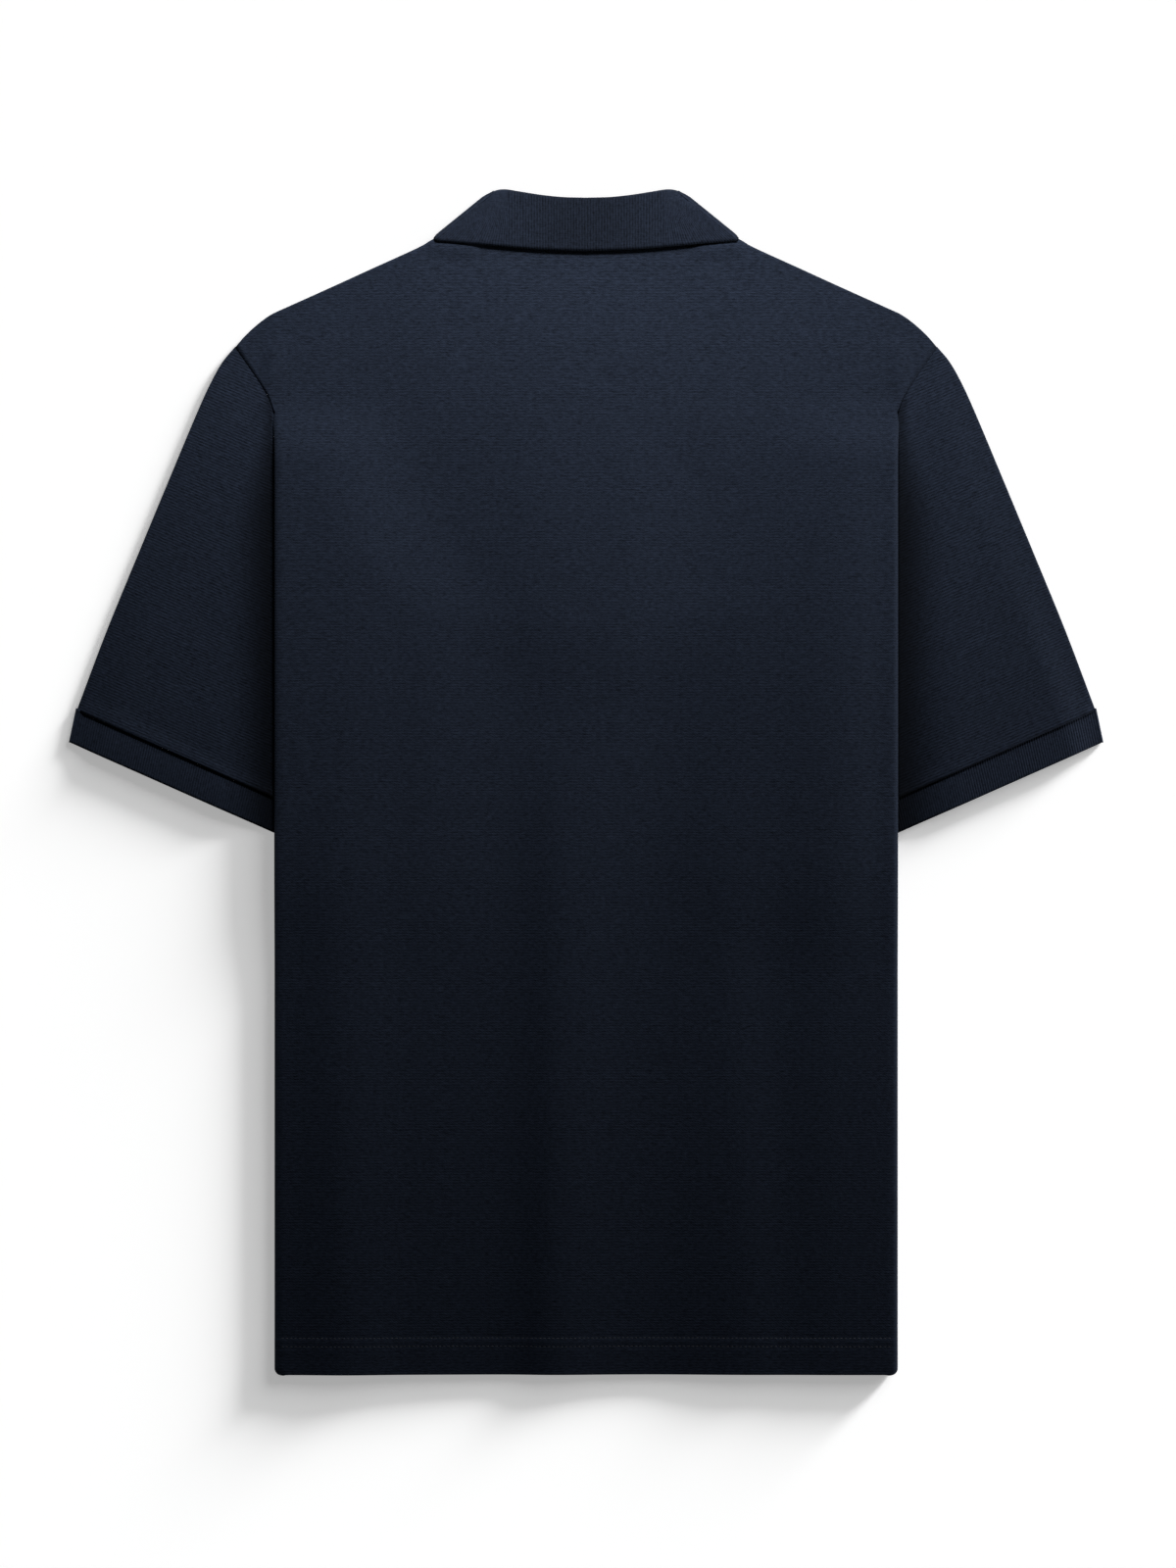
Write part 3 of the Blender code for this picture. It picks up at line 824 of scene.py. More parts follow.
    def yoke(self, sign: int, flat_x: np.ndarray) -> Paths:
        """Rows from the foot of the armhole up to the neck and the shoulder.

        Args:
            sign: +1 for the wearer's right half, -1 for the left.
            flat_x: the columns' x in the row below.

        Returns:
            The rows, whose outer columns spread out evenly along the armhole.
        """
        layout, base = self.layout, self.layout.corner_y
        held = flat_x[flat_x < self.held_x]
        even = np.clip((np.arange(len(flat_x)) - len(held) + 1) / (len(flat_x) - len(held)), 0, 1)
        placed = np.clip((flat_x - held[-1]) / (flat_x[-1] - held[-1]), 0, 1)
        neck_x = self.neck.path[-1, 0]
        count = int(self.yoke_length / self.step)
        rows = []
        for step in range(1, count + 1):
            share = step / count
            seam = layout.armhole.at(share)
            short = seam[1] - base - (layout.shoulder.y_at(seam[0]) - base) * share
            reach = placed + (even - placed) * ease(share * 3)
            x = np.where(reach > 0, held[-1] + (seam[0] - held[-1]) * reach, flat_x)
            top = np.where(x < neck_x, self.neck.y_at(x), layout.shoulder.y_at(np.maximum(x, neck_x)))
            y = base + (top - base) * share + short * reach
            rows.append(np.column_stack([x, y, self.height(sign * x, y)]))
        return rows

    def half(self, sign: int) -> np.ndarray:
        """Rows of points of one half, from the centre line out.

        Args:
            sign: +1 for the wearer's right half, -1 for the left.

        Returns:
            Rows by columns by 3.
        """
        layout = self.layout
        start, slot = layout.turn_start, layout.placket_width / 2
        if self.is_back:
            main = np.linspace(0.0, start, int(start / self.step))
        else:
            main = np.concatenate([[0.0], np.linspace(slot, start, int((start - slot) / self.step))])
        rows = []
        for y in self.heights():
            inward = layout.drawn_in(y) + layout.roll(y) / 2
            x = main - inward * climb(main, start - 12, start)
            z = self.height(sign * x, np.full(len(x), y))
            flat = np.column_stack([x, np.full(len(x), y), z])
            rows.append(np.vstack([flat, self.turned(float(y), float(x[-1]), float(z[-1]))]))
        grid = np.array(rows + self.yoke(sign, rows[-1][:, 0]))
        grid[..., 0] *= sign
        return grid

    def outline(self) -> np.ndarray:
        """The panel's cut, laid out flat: half of it, from the hem's centre round to the neck's."""
        layout = self.layout
        around = math.pi * self.radius
        turned = layout.underarm.path
        beyond = 2 * layout.turn_start + around
        hem_side = (beyond - layout.side_seam, layout.hem)
        lower = [(beyond - x, y) for x, y in turned]
        upper = [tuple(p) for p in layout.armhole.path]
        top = [tuple(p) for p in layout.shoulder.path[::-1]]
        neck = [tuple(p) for p in self.neck.path[::-1]]
        return np.array([(0.0, layout.hem), hem_side, *lower, *upper, *top, *neck])

    def build(self, finish: PiqueFinish, rests_on: tuple[str, ...]) -> bpy.types.Object:
        """Args:
            finish: the cloth's finish.
            rests_on: the nodes it lies on; not used.

        Returns:
            The panel.
        """
        right, left = self.half(1), self.half(-1)
        grid = np.concatenate([left[:, :0:-1], right], axis=1)
        skip = None
        if not self.is_back:
            slot = self.layout.placket_width / 2
            middle = grid[:-1, :-1, 0] + grid[:-1, 1:, 0]
            skip = (np.abs(middle) < 2 * slot) & (grid[:-1, :-1, 1] > self.layout.placket_foot - 0.01)
        wall, shade = self.layout.cloth.wall, self.shade(grid)
        piece = loft(f"{self.name}_cloth", grid, wall, finish.material(), skip=skip, shade=shade)
        seated(piece, "body_pique", self.name)
        outline = self.outline()
        return piece


@dataclass(frozen=True)
class FlatTube:
    """A tube pressed flat on the floor: one layer over another, with a fold down each side."""

    cloth: Cloth = Cloth()
    turns: int = 6

    def ring(self, strip: np.ndarray, rise: np.ndarray, outward: np.ndarray,
             inward: np.ndarray) -> np.ndarray:
        """One ring of the tube.

        Args:
            strip: points across it from the outer fold to the inner one.
            rise: how far each lifts the upper layer.
            outward: the direction in which the outer fold bulges.
            inward: the direction in which the inner fold bulges.

        Returns:
            Points over the top and back underneath.
        """
        radius = self.cloth.level / 2
        middle = self.cloth.floor + radius
        top = np.column_stack([strip, middle + radius + rise])
        bottom = np.column_stack([strip, np.full(len(strip), middle - radius)])[::-1]
        parts = []
        for layer, end, way, upright in ((top, strip[-1], inward, 1), (bottom, strip[0], outward, -1)):
            angle = np.arange(1, self.turns) / self.turns * math.pi
            bulge = end + np.outer(radius * np.sin(angle), way)
            parts += [layer, np.column_stack([bulge, middle + upright * radius * np.cos(angle)])]
        return np.vstack(parts)


@dataclass(frozen=True)
class SleeveSizes:
    """Where a sleeve and its cuff lie, for the wearer's right."""

    top: Curve = Curve(
        (
            (224.6, 278.3), (232.4, 269), (240, 255.7), (247.8, 238.8), (264.1, 200), (289, 140),
            (307.4, 95), (326.3, 44.8),
        )
    )
    underarm: Span = (132.0, 105.0)
    cuff_seam: Points = ((327.0, 44.8), (173.3, -22.7))
    cuff_hem: Points = ((331.2, 24.6), (178.4, -43.0))
    overlap: float = 1.4
    beside: Points = ((199.2, 230.0), (197.4, 224.0), (195.5, 212.0), (195.0, 205.0))
    hidden_from: float = 0.96
    head_from: float = 0.985
    head_points: tuple[int, int, int] = (26, 12, 80)
    fine_rows: tuple[float, int] = (0.18, 26)
    coarse_rows: tuple[float, int] = (0.975, 40)
    end_rows: Three = (0.985, 0.993, 1.0)
    cuff_rows: tuple[float, ...] = (-0.09, 0.0, 0.05, 0.2, 0.4, 0.6, 0.8, 0.92, 1.0)
    rib_pitch: float = 1.64
    rib_height: Span = (0.24, 0.12)
    girth: float = 2 * 168.0
    head_width: float = 410.0
    swell: float = 1.2
    swell_along: Span = (0.0, 0.15)
    cuff_arch: float = 2.8
    cuff_swell: float = 0.3
    arch_along: Span = (0.5, 0.45)
    arch_beside: Span = (205.0, 35.0)
    arch_outer: Span = (0.0, 0.14)
    lip: float = 1.15
    lip_along: Span = (0.962, 0.02)
    lip_outer: Span = (0.0, 0.03)
    lip_inner: Span = (1.04, -0.05)
    lip_beside: Span = (198.0, 3.0)
    # Painted shade: how far the colour is darkened beside the body, standing in for its shadow where the
    # sleeve goes in under it, and along the cuff seam's groove.
    upper_side: Span = (0.7, 1.3)
    tuck_start: float = 201.0
    tuck_length: float = 80.0
    tuck_edge: Span = (-0.2, 1.2)
    seam_shade: float = 0.5
    seam_reach: float = 1.6
    tuck_reach: Span = (8.0, 32.0)
    tuck_shade: Span = (0.42, 0.20)


@dataclass(frozen=True)
class Sleeve:
    """A set-in short sleeve with its ribbed cuff, laid flat and going under the turned side."""

    side: Side
    layout: Layout
    sizes: SleeveSizes = SleeveSizes()
    tube: FlatTube = FlatTube()

    def _mirrored(self, rings: np.ndarray) -> np.ndarray:
        """The rings on this sleeve's side, facing out."""
        return rings if self.side is Side.RIGHT else rings[:, ::-1] * (-1, 1, 1)

    def head(self) -> np.ndarray:
        """The sleeve's upper edge: along the armhole, down beside the body and in to the underarm."""
        sizes, layout = self.sizes, self.layout
        along, beside, under = sizes.head_points
        first = sizes.top.path[0]
        visible = layout.armhole.at(np.linspace(sizes.head_from, 0, along))
        visible = visible + layout.armhole.normal(0.5, 1) * sizes.overlap
        visible[0] = first + (visible[0] - first) * 0.5
        down = Curve((tuple(visible[-1]), *sizes.beside), smooth=False).at(np.linspace(0, 1, beside))
        hidden = layout.underarm.at(np.linspace(sizes.hidden_from, 0, under))
        return np.vstack([visible, down[1:], hidden[1:]])

    def sleeve_rings(self) -> np.ndarray:
        """Rings from the armhole to the cuff seam."""
        sizes, top, head = self.sizes, self.sizes.top, self.head()
        steps = np.hypot(*np.diff(head, axis=0).T)
        column = np.concatenate([[0], np.cumsum(steps)]) / steps.sum()
        fold, corner = np.array(sizes.underarm), np.array(sizes.cuff_seam[1])
        head_line = head[0] + np.outer(column, head[-1] - head[0])
        cuff_line = top.path[-1] + np.outer(column, corner - top.path[-1])
        inward = unit(np.array([corner[1] - fold[1], fold[0] - corner[0]]))
        (fine, fine_count), (coarse, coarse_count) = sizes.fine_rows, sizes.coarse_rows
        begin, onward = np.linspace(0, fine, fine_count), np.linspace(fine, coarse, coarse_count)
        rings = []
        for row in np.concatenate([begin, onward[1:], sizes.end_rows]):
            outer, inner = top.at(row), fold + (corner - fold) * row
            lengthways = head + (cuff_line - head) * row
            sideways = outer + np.outer(column, inner - outer)
            strip = lengthways + sideways - (head_line + (cuff_line - head_line) * row)
            rings.append(self.tube.ring(strip, self.rise(strip, row, column), top.normal(row, 1), inward))
        return np.array(rings)

    def rise(self, strip: np.ndarray, row: float, column: np.ndarray) -> np.ndarray:
        """How far the upper layer lifts off the lower one.

        Args:
            strip: points across the sleeve.
            row: share of the way from the armhole to the cuff seam.
            column: share of the way across at each point.

        Returns:
            A soft swell that grows towards the cuff, and a lip over the cuff's seam.
        """
        sizes = self.sizes
        end = slope(row, sizes.arch_along)
        swell = sizes.swell * slope(row, sizes.swell_along) * (1 - end) + sizes.cuff_arch * end
        lip = sizes.lip * slope(row, sizes.lip_along)
        lip = lip * slope(column, sizes.lip_outer) * slope(column, sizes.lip_inner)
        return swell * self.arch(strip, column) + lip * slope(strip[:, 0], sizes.lip_beside)

    def arch(self, strip: np.ndarray, column: np.ndarray) -> np.ndarray:
        """Share of its full lift across the tube: none at the outer fold or under the body."""
        return slope(strip[:, 0], self.sizes.arch_beside) * slope(column, self.sizes.arch_outer)

    def shade(self, grid: np.ndarray) -> np.ndarray:
        """Painted shade at each point of the upper layer: the colour darkened where the sleeve goes in under
        the body, standing in for the body's shadow, and in the cuff seam's groove.
        """
        sizes = self.sizes
        x, y, above = np.abs(grid[..., 0]), grid[..., 1], climb(grid[..., 2], *sizes.upper_side)
        down = slope(y, (self.layout.corner_y, -sizes.tuck_length))
        reach = sizes.tuck_reach[0] + (sizes.tuck_reach[1] - sizes.tuck_reach[0]) * down
        dark = sizes.tuck_shade[0] + (sizes.tuck_shade[1] - sizes.tuck_shade[0]) * down
        # Painted shadow of the body's edge on the sleeve, fading away from the body.
        painted_tuck_shadow = (1 - dark) * ease(1 - (x - sizes.tuck_start) / reach)
        if self.side is Side.LEFT:
            painted_tuck_shadow = painted_tuck_shadow * climb(x, *np.add(sizes.tuck_start, sizes.tuck_edge))
        seam = distance_to(np.array(sizes.cuff_seam), x, y)
        painted_seam_shade = above * sizes.seam_shade * ease(1 - seam / sizes.seam_reach)
        return (1 - above * painted_tuck_shadow) * (1 - painted_seam_shade)

    def cuff_rings(self) -> tuple[np.ndarray, np.ndarray]:
        """Rings of the cuff, from under the sleeve's end to its own open end, ribbed all round.

        Returns:
            The rings and the ribs counted along them.
        """
        sizes = self.sizes
        seam, hem = np.array(sizes.cuff_seam), np.array(sizes.cuff_hem)
        width = np.hypot(*(seam[1] - seam[0]))
        ribs = int(width / sizes.rib_pitch)
        column = np.linspace(0, 1, ribs * RIB_STEPS + 1)
        outward = unit(np.array([seam[0][1] - hem[0][1], hem[0][0] - seam[0][0]]))
        rings = []
        for row in sizes.cuff_rows:
            outer, inner = seam + (hem - seam) * row
            strip = outer + np.outer(column, inner - outer)
            bulge = sizes.cuff_arch + sizes.cuff_swell * math.sin(math.pi * min(max(row, 0), 1))
            rings.append(self.tube.ring(strip, bulge * self.arch(strip, column), outward, -outward))
        grid = np.array(rings)
        turn = self.tube.turns - 1
        counted = np.concatenate([column * ribs, np.full(turn, ribs), column[::-1] * ribs, np.zeros(turn)])
        above, below = sizes.rib_height
        height = np.repeat([above, below], len(column) + turn)
        grid[..., 2] += height * (0.5 + 0.5 * np.cos(2 * math.pi * counted))
        return grid, np.broadcast_to(counted, grid.shape[:2])

    def build(self, pique: PiqueFinish, rib: RibFinish) -> list[bpy.types.Object]:
        """Args:
            pique: the sleeve's finish.
            rib: the cuff's finish.

        Returns:
            The sleeve and the cuff.
        """
        sizes, wall = self.sizes, self.layout.cloth.wall
        which = self.side.name.lower()
        rings = self._mirrored(self.sleeve_rings())
        shade = self.shade(rings)
        sleeve = loft(f"sleeve_{which}_cloth", rings, wall, pique.material(), tube=True, shade=shade)
        seated(sleeve, "sleeve_pique", f"sleeve_{which}")
        rings, counted = self.cuff_rings()
        rings, counted = self._mirrored(rings), counted if self.side is Side.RIGHT else counted[:, ::-1]
        shade = self.shade(rings)
        cuff = loft(f"cuff_{which}_cloth", rings, wall, rib.material(), tube=True, shade=shade, ribs=counted)
        seated(cuff, "cuff_rib", f"cuff_{which}")
        LOG.info("sleeve and cuff, %s", which)
        return [sleeve, cuff]


@dataclass(frozen=True)
class Collar:
    """The ribbed collar: a stand that goes up inside the neck and a leaf folded down over it."""

    layout: Layout
    fold_back: Curve = Curve(
        ((0, 372.6), (16, 373.1), (30, 374.6), (44, 376.8), (51, 377.9), (55.5, 377.8), (59, 376.8))
    )
    fold_front: Curve = Curve(((59, 376.8), (60, 350), (50, 320), (29, 300), (3, 292)))
    leaf_back: Curve = LEAF_EDGE
    leaf_front: Curve = Curve(((96.3, 346.6), (62, 250)))
    middle: float = 3.45
    rib_pitch: float = 1.8
    rib_height: float = 0.07
    # Painted shade: how far the collar's middle is darkened, standing in for the shade in the hollow of the
    # neck.
    neck_shade: float = 0.30
    pressed: float = 0.5
    tooth: float = 0.06
    leaf_lift: float = 0.2
    straight: float = 50.0
    seam_back: float = 0.4
    seam_front: float = 0.6
    lift_fade: float = 55.0
    lift_bend: float = 1.5
    row_bend: float = 0.9
    crease_reach: float = 0.14
    edge_pressed: float = 0.6
    edge_along: Span = (0.93, 0.07)
    shade_reach: float = 70.0
    stand_rows: int = 5
    fold_rows: int = 10
    leaf_rows: int = 16

    @property
    def stand_turn(self) -> float:
        """Radius of the stand's turn at the side crease."""
        return 0.5 * (self.layout.cloth.knit + self.layout.cloth.gap)

    @property
    def leaf_turn(self) -> float:
        """Radius of the leaf's turn there."""
        return 1.5 * (self.layout.cloth.knit + self.layout.cloth.gap)

    def section(self, seam: np.ndarray, fold: np.ndarray, leaf: np.ndarray, up: np.ndarray, around: float,
                lift: float, tooth: float) -> np.ndarray:
        """Points across the collar, from its seam edge over the fold to the leaf's edge.

        Args:
            seam: its seam edge.
            fold: the middle of its fold.
            leaf: the leaf's lower edge.
            up: the direction in which the fold bulges.
            around: the angle swept round the side crease, 0 at the back and pi at the front.
            lift: how far the leaf's edge stands off.
            tooth: how far this column reaches past the leaf's edge.

        Returns:
            The points.
        """
        turn = (self.leaf_turn - self.stand_turn) / 2
        share = np.linspace(0, 1, self.stand_rows, endpoint=False)[:, None]
        stand = seam + (fold - seam) * share
        angle = np.linspace(0, math.pi, self.fold_rows + 1)
        arch = fold + np.outer(turn * np.sin(angle), up)
        down = np.linspace(0, 1, self.leaf_rows + 1)[1:, None] ** self.row_bend
        fall = fold + (leaf - fold) * down
        fall[-1] += unit(leaf - fold) * tooth
        flat = np.vstack([stand, arch, fall])
        radius = np.concatenate([
            np.full(self.stand_rows, self.stand_turn),
            self.stand_turn + turn * (1 - np.cos(angle)),
            self.leaf_turn + lift * ease(down[:, 0]) ** self.lift_bend,
        ])
        run = unit(self.leaf_back.path[-1] - self.fold_back.path[-1])
        out = np.array([-run[1], run[0]])
        pressed = 1 - self.pressed * np.concatenate([
            np.linspace(0, 1, self.stand_rows) ** 2,
            np.ones(self.fold_rows + 1),
            ease(1 - down[:, 0] / self.crease_reach)
            + self.edge_pressed * slope(down[:, 0], self.edge_along),
        ])
        side = np.outer(radius * pressed * math.sin(around), out)
        return np.column_stack([flat + side, self.middle + radius * math.cos(around)])

    def back_columns(self) -> tuple[np.ndarray, np.ndarray]:
        """Where the back's columns cross the fold and the leaf's edge: upright, then fanning out."""
        fold_end, leaf_end = self.fold_back.path[-1, 0], self.leaf_back.path[-1, 0]
        fine = self.rib_pitch / RIB_STEPS
        upright = np.arange(0, self.straight, fine)
        share = np.linspace(0, 1, int((leaf_end - self.straight) / fine) + 1)
        fold = np.concatenate([upright, self.straight + (fold_end - self.straight) * share])
        leaf = np.concatenate([upright, self.straight + (leaf_end - self.straight) * share])
        return fold, leaf

    def half(self) -> tuple[np.ndarray, np.ndarray]:
        """Columns of the right half, from the centre back round the side crease to the centre front.

        Returns:
            The columns and the ribs counted up to each.
        """
        layout = self.layout
        fold_x, leaf_x = self.back_columns()
        neck = layout.neck_back
        seam_x = leaf_x / leaf_x[-1] * neck.path[-1, 0]
        columns = []
        for fx, lx, sx in zip(fold_x, leaf_x, seam_x):
            fold = np.array([fx, self.fold_back.y_at(fx)])
            leaf = np.array([lx, self.leaf_back.y_at(lx)])
            seam = np.array([sx, neck.y_at(sx) + self.seam_back])
            near, far = max(fx - 0.5, 0.0), min(fx + 0.5, fold_x[-1])
            slope = (self.fold_back.y_at(far) - self.fold_back.y_at(near)) / (far - near)
            up = unit(np.array([-slope if fx > 1 else 0.0, 1.0]))
            lift = self.leaf_lift * ease((leaf_x[-1] - lx) / self.lift_fade)
            tooth = self.tooth / 2 * math.cos(2 * math.pi * lx / self.rib_pitch)
            columns.append(self.section(seam, fold, leaf, up, 0.0, float(lift), tooth))
        first = (seam, fold, leaf, up)
        front = layout.neck_front
        ribs_round = round(math.pi * self.leaf_turn / self.rib_pitch)
        ribs_front = round(self.leaf_front.length / self.rib_pitch)
        share = np.linspace(0, 1, RIB_STEPS * ribs_front + 1)
        sides = []
        for s in share:
            sx = front.path[-1, 0] + (self.fold_front.path[-1, 0] - front.path[-1, 0]) * s
            bend = self.fold_front.normal(s, -1)
            seam = np.array([sx, front.y_at(sx)]) + unit(np.array([-1.2, 1.0])) * self.seam_front
            sides.append((seam, self.fold_front.at(s), self.leaf_front.at(s), bend))
        round_steps = RIB_STEPS * ribs_round
        for step in range(1, round_steps):
            blend = step / round_steps
            mixed = [a + (b - a) * blend for a, b in zip(first, sides[0])]
            columns.append(self.section(*mixed, math.pi * blend, 0.0, 0.0))
        for number, side in enumerate(sides):
            tooth = self.tooth / 2 * math.cos(2 * math.pi / RIB_STEPS * number)
            columns.append(self.section(*side, math.pi, 0.0, tooth))
        start = leaf_x[-1] / self.rib_pitch
        turning = start + np.arange(1, round_steps) / RIB_STEPS
        counted = [leaf_x / self.rib_pitch, turning, start + ribs_round + share * ribs_front]
        return np.array(columns), np.concatenate(counted)

    def build(self, finish: RibFinish) -> bpy.types.Object:
        """Args:
            finish: the rib knit's finish.

        Returns:
            The collar.
        """
        right, counted = self.half()
        grid = np.concatenate([right[:0:-1] * (-1, 1, 1), right])
        ribs = np.broadcast_to(np.concatenate([counted[:0:-1], counted])[:, None], grid.shape[:2])
        shape = normals(grid)
        outward = shape * np.sign(shape[len(right) - 1, -4, 2])
        groove = self.rib_height * (0.5 - 0.5 * np.cos(2 * math.pi * ribs))
        groove[:, : self.stand_rows + 2] = 0.0
        grid = grid - outward * groove[..., None]
        # Painted shade on the collar's upper face, darkest in the middle, standing in for the shade of the
        # neck's hollow.
        above = climb(grid[..., 2], self.middle, self.middle + 2)
        shade = 1 - self.neck_shade * above * ease(1 - np.abs(grid[..., 0]) / self.shade_reach)
        knit = self.layout.cloth.knit
        piece = loft("collar_cloth", grid, knit, finish.material(), shade=shade, ribs=ribs)
        piece.modifiers["Wall"].use_even_offset = False
        seated(piece, "collar_rib", "collar")
        LOG.info("collar: %d by %d points", *grid.shape[:2])
        return piece


@dataclass(frozen=True)
class Stitching:
    """Rows of short thread stitches that lie half sunk in the cloth."""

    thread: float = 0.2
    length: float = 2.0
    pitch: float = 2.8
    sides: int = 6
    face: int = 1
    first: float = 0.3
    arch: float = 0.12
    flatness: float = 0.8
    along: tuple[float, ...] = (0.0, 0.18, 0.5, 0.82, 1.0)
    fatness: tuple[float, ...] = (0.12, 0.85, 1.0, 0.85, 0.12)

    def mesh(self, rows: Paths) -> tuple[np.ndarray, list[list[int]]]:
        """Stitches along each row.

        Args:
            rows: paths over the cloth, in millimetres.

        Returns:
            The points and the faces of all the stitches.
        """
        points, faces = [], []
        rings, fat = np.array(self.along), np.array(self.fatness)
        turn = np.arange(self.sides) / self.sides * 2 * math.pi
        around = range(self.sides)
        last = (len(rings) - 1) * self.sides
        for path in rows:
            steps = np.linalg.norm(np.diff(path, axis=0), axis=1)
            travelled = np.concatenate([[0], np.cumsum(steps)])
            for start in np.arange(self.first, travelled[-1] - self.length, self.pitch):
                ends = [
                    np.array([np.interp(at, travelled, path[:, k]) for k in range(3)])
                    for at in (start, start + self.length)
                ]
                ahead = unit(ends[1] - ends[0])
                aside = unit(np.cross(ahead, (0, 0, 1)))
                above = np.cross(aside, ahead)
                arch = np.outer(np.sin(rings * math.pi) * self.arch * self.face, above)
                middle = ends[0] + np.outer(rings, ends[1] - ends[0]) + arch
                ring = np.outer(np.cos(turn), aside) + np.outer(np.sin(turn), above) * self.flatness
                shape = middle[:, None] + ring[None] * (self.thread * fat)[:, None, None]
                offset = len(points) * len(rings) * self.sides
                points.append(shape.reshape(-1, 3))
                for low in range(offset, offset + last, self.sides):
                    for j in around:
                        a, b = low + j, low + (j + 1) % self.sides
                        faces.append([a, b, b + self.sides, a + self.sides])
                faces.append([offset + j for j in around][::-1])
                faces.append([offset + last + j for j in around])
        return np.vstack(points), faces

    def sew(self, name: str, rows: Paths, finish: ThreadFinish, slot: str) -> bpy.types.Object:
        """Make rows of stitches as one piece.

        Args:
            name: the piece's name.
            rows: paths over the cloth.
            finish: the thread's finish.
            slot: the finish slot it belongs to; not used.

        Returns:
            The stitches.
        """
        points, faces = self.mesh(rows)
        piece = placed(name, points, faces, finish.material())
        LOG.info("%s: %d faces", name, len(faces))
        return seated(piece, slot)


@dataclass(frozen=True)
class Placket:
    """The two placket bands, the buttonholes in the outer one, and the buttons under it."""

    layout: Layout
    button_rows: tuple[tuple[str, float], ...] = (("button_top", 252.0), ("button_low", 190.0))
    hole: Span = (0.8, 13.0)
    button_hole: float = 1.35
    inset: float = 2.2
    box: float = 26.0
    beside_hole: float = 1.6
    columns: int = 10
    last_row: float = 262.0
    rows: int = 60
    short_of_neck: float = 1.5
    bar: float = 2.1
    bar_pitch: float = 0.55
    bar_ends: Span = (0.5, 0.6)
    shank: Span = (0.25, 2.6)

    def band(self, name: str, level: float, finish: PiqueFinish, holes: bool) -> bpy.types.Object:
        """One band, lying flat at its level.

        Args:
            name: the band's node.
            level: the height of its middle.
            finish: the cloth's finish.
            holes: whether it has buttonholes.

        Returns:
            The band.
        """
        layout = self.layout
        half = layout.placket_width / 2 - layout.cloth.gap
        slit, reach = self.hole[0] / 2, self.hole[1] / 2
        right = np.concatenate([[slit], np.linspace(self.beside_hole, half, self.columns)])
        xs = np.concatenate([-right[::-1], right])
        foot = layout.placket_foot + layout.cloth.gap
        marks = sorted(y + way * reach for _, y in self.button_rows for way in (-1, 1))
        ys = np.unique(np.concatenate([np.linspace(foot, self.last_row, self.rows), marks]))
        x, y = np.meshgrid(xs, ys)
        top = layout.neck_front.y_at(np.abs(xs)) - layout.cloth.gap
        x = np.vstack([x, xs])
        y = np.vstack([y, top])
        grid = np.stack([x, y, np.full(x.shape, level)], axis=-1)
        skip = np.zeros((len(grid) - 1, len(xs) - 1), dtype=bool)
        if holes:
            middle = len(xs) // 2 - 1
            for _, centre in self.button_rows:
                skip[:, middle] |= np.abs(grid[:-1, 0, 1] + 0.01 - centre) < reach
        piece = loft(f"{name}_cloth", grid, layout.cloth.wall, finish.material(), skip=skip)
        seated(piece, "placket_pique", name)
        return piece

    def build(self, finish: PiqueFinish, plastic: ButtonFinish) -> None:
        """Make both bands, and give the buttons their plastic.

        Args:
            finish: the bands' finish.
            plastic: the buttons' finish.
        """
        outer = self.layout.cloth.floor + self.layout.neck_raise
        self.band("placket_over", outer, finish, True)
        self.band("placket_under", outer + self.layout.cloth.level, finish, False)
        dark = plastic.material()
        for name, _ in self.button_rows:
            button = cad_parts[name]
            button.data.materials.clear()
            button.data.materials.append(dark)
        LOG.info("placket and %d buttons", len(self.button_rows))

    def topstitch(self, down: float) -> Paths:
        """Rows along both long edges of the outer band and across its foot.

        Args:
            down: height of the band's face.

        Returns:
            The rows' paths.
        """
        layout = self.layout
        side, foot = layout.placket_width / 2 - self.inset, layout.placket_foot + self.inset
        top = float(layout.neck_front.y_at(side)) - self.short_of_neck
        lines = [((x, foot), (x, top)) for x in (-side, side)]
        lines += [((-side, y), (side, y)) for y in (foot, foot + self.box)]
        return [np.array([(*a, down), (*b, down)]) for a, b in lines]

    def buttonhole(self, centre: float, down: float) -> Paths:
        """Close stitches down both sides of a buttonhole.

        Args:
            centre: its height on the band.
            down: height of the band's face.

        Returns:
            One short path to each stitch.
        """
        slit, reach = self.hole[0] / 2, self.hole[1] / 2
        below, above = self.bar_ends
        rows = np.arange(centre - reach - below, centre + reach + above, self.bar_pitch)
        far = slit + self.bar
        return [np.array([(side * slit, y, down), (side * far, y, down)]) for y in rows for side in (-1, 1)]

    def shanks(self, centre: float) -> Paths:
        """The thread in a button's four holes, from its face to the band behind it."""
        reach, (start, end) = self.button_hole, self.shank
        corners = [(x * reach, centre + y * reach) for x in (-1, 1) for y in (-1, 1)]
        return [np.array([(x + 0.01, y, start), (x, y, end)]) for x, y in corners]

    def sew(self, thread: ThreadFinish) -> None:
        """Sew the placket: topstitching, buttonholes and buttons."""
        cloth = self.layout.cloth
        down = cloth.floor + self.layout.neck_raise - cloth.wall / 2 - PROUD
        Stitching(face=-1).sew("placket_stitches", self.topstitch(down), thread, "placket_pique")
        holes = [path for _, y in self.button_rows for path in self.buttonhole(y, down)]
        Stitching(0.24, 1.7, 9.0, face=-1).sew("buttonhole_stitches", holes, thread, "placket_pique")
        shanks = [path for _, y in self.button_rows for path in self.shanks(y)]
        Stitching(0.5, 1.9, 9.0).sew("button_threads", shanks, thread, "placket_pique")


def hung(data: bpy.types.Light, light_from: Vector) -> bpy.types.Object:
    """Put a lamp into the scene, turned so that its light comes from that direction."""
    lamp = bpy.data.objects.new(data.name, data)
    lamp.rotation_euler = light_from.to_track_quat("Z", "Y").to_euler()
    bpy.context.scene.collection.objects.link(lamp)
    return lamp


